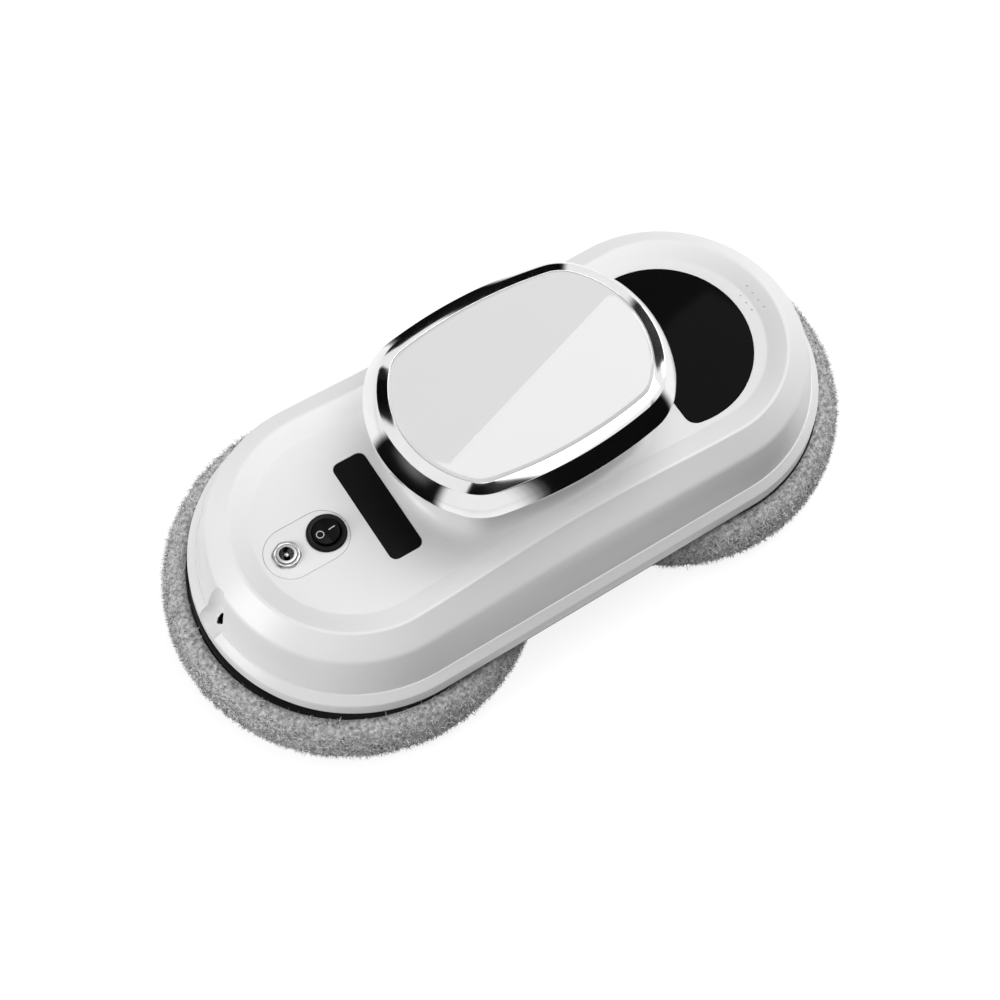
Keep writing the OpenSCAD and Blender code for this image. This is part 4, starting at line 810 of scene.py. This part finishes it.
for name, side in (("left", -1), ("right", 1)):
    bm = turned_ring(ring_section, side * disc_x, steps=240)
    long_edges = [e for e in bm.edges if e.calc_length() > 3 * mm]
    bmesh.ops.subdivide_edges(bm, edges=long_edges, cuts=2, use_grid_fill=True)
    for v in bm.verts:
        out = Vector((v.co.x - side * disc_x, v.co.y, 0))
        if out.length > 64.5 * mm and v.co.z > 0.4 * mm:
            lump = noise.noise(v.co * 260) * 0.35 + noise.noise(v.co * 700) * 0.25
            v.co += out.normalized() * (lump - 0.45) * mm
            v.co.z = min(v.co.z, pad_top)
    pad = finished("cloth_pad_" + name, bm, pile, name + "_disc", "microfibre",
                   "cloth_ring_" + name, sharp=60)
    seed = random.Random(17 + side)
    points, faces, tones_and_root_shade = [], [], []
    for _ in range(strands):
        run = seed.random() * sum(lengths) * 1.25
        if run > sum(lengths):
            run = sum(lengths) * (0.45 + 0.4 * seed.random())
        for k, length in enumerate(lengths):
            if run <= length:
                break
            run -= length
        a, b = Vector(pile_line[k]), Vector(pile_line[k + 1])
        spot = a.lerp(b, run / length)
        flat = (b - a).normalized()
        angle = seed.random() * 2 * math.pi
        out = Vector((math.cos(angle), math.sin(angle), 0))
        normal = out * flat.y + Vector((0, 0, -flat.x))
        root = out * (spot.x * mm) + Vector((side * disc_x, 0, spot.y * mm)) - normal * 0.5 * mm
        heading = any_way(seed).normalized()
        heading = (heading + normal * (0.25 - min(heading.dot(normal), 0))).normalized()
        width = seed.uniform(0.11, 0.22) * mm
        reach = seed.uniform(0.5, 1.0) * mm
        bend = any_way(seed).normalized()
        widest = seed.uniform(73.1, 73.75) * mm
        first = len(points)
        here = root
        for step in range(strand_steps + 1):
            across = heading.cross(bend).normalized() * width * (1 - 0.22 * step)
            for p in (here + across, here - across):
                p.z = min(max(p.z, pile_foot), pile_top)
                from_axis = Vector((p.x - side * disc_x, p.y, 0))
                p -= from_axis * max(0, 1 - widest / from_axis.length)
                points.append(p)
            here = here + heading * reach
            heading = (heading + bend * 0.65).normalized()
        for step in range(strand_steps):
            q = first + 2 * step
            faces.append((q, q + 1, q + 3, q + 2))
        # A random tone per strand, scaled along the strand from 0.55 at the root to 1 at the tip: painted
        # shade at the roots, where the pile is deep.
        shade = min(max(seed.gauss(0.8, 0.34), 0.1), 1)
        for step in range(strand_steps + 1):
            tones_and_root_shade += [shade * (0.55 + 0.45 * step / strand_steps)] * 2
    mesh = bpy.data.meshes.new("pile_" + name)
    mesh.from_pydata(points, [], faces)
    layer = mesh.color_attributes.new("fibre_tone_and_root_shade", "FLOAT_COLOR", "POINT")
    layer.data.foreach_set("color", [c for t in tones_and_root_shade for c in (t, t, t, 1)])
    mesh.shade_smooth()
    mesh.materials.append(fibre)
    fuzz = bpy.data.objects.new("pile_" + name, mesh)
    bpy.context.scene.collection.objects.link(fuzz)
    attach(fuzz, name + "_disc")

# Studio: a white sheet under the robot that runs out of sight, a wide soft lamp overhead,
# a soft lamp off each end, and dark flags that only the polished pieces see.
def seen_straight(tree):
    """A value of 1 for camera, glossy and transmission rays, and of 0 for all others."""
    ways = tree.nodes.new("ShaderNodeLightPath")
    seen = ways.outputs["Is Camera Ray"]
    for other in ("Is Glossy Ray", "Is Transmission Ray"):
        either = tree.nodes.new("ShaderNodeMath")
        either.operation = "MAXIMUM"
        wire(tree, (seen, either.inputs[0]), (ways.outputs[other], either.inputs[1]))
        seen = either.outputs[0]
    return seen


def card(name, bm, finish):
    """Stands a worked mesh in the studio, where it isn't part of the robot."""
    mesh = bpy.data.meshes.new(name)
    bm.to_mesh(mesh)
    bm.free()
    mesh.materials.append(finish)
    piece = bpy.data.objects.new(name, mesh)
    bpy.context.scene.collection.objects.link(piece)
    return piece


paper = bpy.data.materials.new("white_sheet")
paper.use_nodes = True
tree = paper.node_tree
tree.nodes.clear()
output = tree.nodes.new("ShaderNodeOutputMaterial")
seen = seen_straight(tree)
glow = tree.nodes.new("ShaderNodeEmission")
level = tree.nodes.new("ShaderNodeMath")
level.operation = "MULTIPLY"
level.inputs[1].default_value = 0.86
matt = tree.nodes.new("ShaderNodeBsdfDiffuse")
matt_tone = tree.nodes.new("ShaderNodeMix")
matt_tone.data_type = "RGBA"
matt_tone.inputs[6].default_value = (0.5, 0.5, 0.5, 1)
matt_tone.inputs[7].default_value = (0.22, 0.22, 0.22, 1)
both = tree.nodes.new("ShaderNodeAddShader")
wire(tree,
     (seen, level.inputs[0]), (level.outputs[0], glow.inputs["Strength"]),
     (seen, matt_tone.inputs[0]), (matt_tone.outputs[2], matt.inputs["Color"]),
     (glow.outputs[0], both.inputs[0]), (matt.outputs[0], both.inputs[1]),
     (both.outputs[0], output.inputs["Surface"]))
bm = bmesh.new()
bmesh.ops.create_grid(bm, x_segments=8, y_segments=8, size=4, matrix=Matrix.Translation((0, 0, -0.4 * mm)))
card("sheet", bm, paper)
flag_black = bpy.data.materials.new("flag_black")
flag_black.use_nodes = True
tree = flag_black.node_tree
tree.nodes.clear()
output = tree.nodes.new("ShaderNodeOutputMaterial")
gauze = tree.nodes.new("ShaderNodeAttribute")
gauze.attribute_name = "thickness"
open_weave = tree.nodes.new("ShaderNodeBsdfTransparent")
dense_weave = tree.nodes.new("ShaderNodeBsdfDiffuse")
dense_weave.inputs["Color"].default_value = (0.006, 0.006, 0.006, 1)
weave = tree.nodes.new("ShaderNodeMixShader")
wire(tree, (gauze.outputs["Fac"], weave.inputs[0]), (open_weave.outputs[0], weave.inputs[1]),
     (dense_weave.outputs[0], weave.inputs[2]), (weave.outputs[0], output.inputs["Surface"]))


def flag(name, first, last, low, high, soft=7.0):
    """A black flag between two bearings, seen only in gloss, that thins out towards its sides."""
    bm = bmesh.new()
    a = math.radians(first)
    edge = bm.edges.new([bm.verts.new((r * math.cos(a), r * math.sin(a), z)) for r, z in (low, high)])
    bmesh.ops.spin(bm, geom=[edge], cent=(0, 0, 0), axis=(0, 0, 1),
                   angle=math.radians(last - first), steps=40)
    thickness = bm.verts.layers.float.new("thickness")
    for v in bm.verts:
        bearing = (math.degrees(math.atan2(v.co.y, v.co.x)) - first + 180) % 360 - 180
        inside = min(max(min(bearing, last - first - bearing) / soft, 0), 1)
        v[thickness] = inside * inside * (3 - 2 * inside)
    piece = card(name, bm, flag_black)
    piece.visible_camera = False
    piece.visible_diffuse = False
    piece.visible_shadow = False
    piece.visible_transmission = False


def up_at(distance, elevation):
    """A place at that distance and elevation from the middle of the turret's top."""
    a = math.radians(elevation)
    return distance * math.cos(a), 0.095 + distance * math.sin(a)


up = 0.6
flag("flag_front", -98, -24, (0.125, 0.001), (0.45, 0.62), 11)
flag("flag_left", 150, 206, (0.165, 0.001), (0.45, 0.62))
flag("flag_back", 62, 99, (0.1, 0.001), (0.45, 0.3))
flag("flag_right", -2, 28, up_at(up, 17), up_at(up, 38), 4)
flag("flag_far", 48, 77, up_at(up, 10), up_at(up, 27), 4)
flag("flag_far_left", 101, 131, up_at(up, 31), up_at(up, 52), 4)
flag("flag_top", -155, -60, up_at(up, 60), up_at(up, 78), 10)


def soft_lamp(name, stand, width, depth, watts):
    """A soft rectangular lamp that shines down the -Z of its stand."""
    data = bpy.data.lights.new(name, "AREA")
    data.shape = "RECTANGLE"
    data.size, data.size_y = width, depth
    data.energy = watts
    lamp = bpy.data.objects.new(name, data)
    lamp.matrix_world = stand
    bpy.context.scene.collection.objects.link(lamp)


def aimed(place, aim=(0, 0, 0.04)):
    """A stand at a place, turned towards the middle of the robot."""
    look = (Vector(aim) - Vector(place)).to_track_quat("-Z", "Y").to_matrix().to_4x4()
    return Matrix.Translation(place) @ look


overhead = Matrix.Translation((0.415, 0.519, 1.3)) @ Matrix.Rotation(math.radians(17.9), 4, "Z")
soft_lamp("overhead", overhead @ Matrix.Translation((0, -0.5, 0)), 1.3, 1.0, 12.4)
soft_lamp("left_end", aimed((-1.1, 0.1, 0.55)), 0.5, 0.7, 8.5)
soft_lamp("right_end", aimed((1.1, 0.2, 0.5)), 0.5, 0.6, 4)
world = bpy.data.worlds.new("studio")
bpy.context.scene.world = world
world.use_nodes = True
tree = world.node_tree
tree.nodes.clear()
output = tree.nodes.new("ShaderNodeOutputWorld")
strength = tree.nodes.new("ShaderNodeMapRange")
strength.inputs["To Min"].default_value = 0.15
strength.inputs["To Max"].default_value = 1
air = tree.nodes.new("ShaderNodeBackground")
air.inputs["Color"].default_value = (1, 1, 1, 1)
wire(tree,
     (seen_straight(tree), strength.inputs["Value"]), (strength.outputs[0], air.inputs["Strength"]),
     (air.outputs[0], output.inputs["Surface"]))
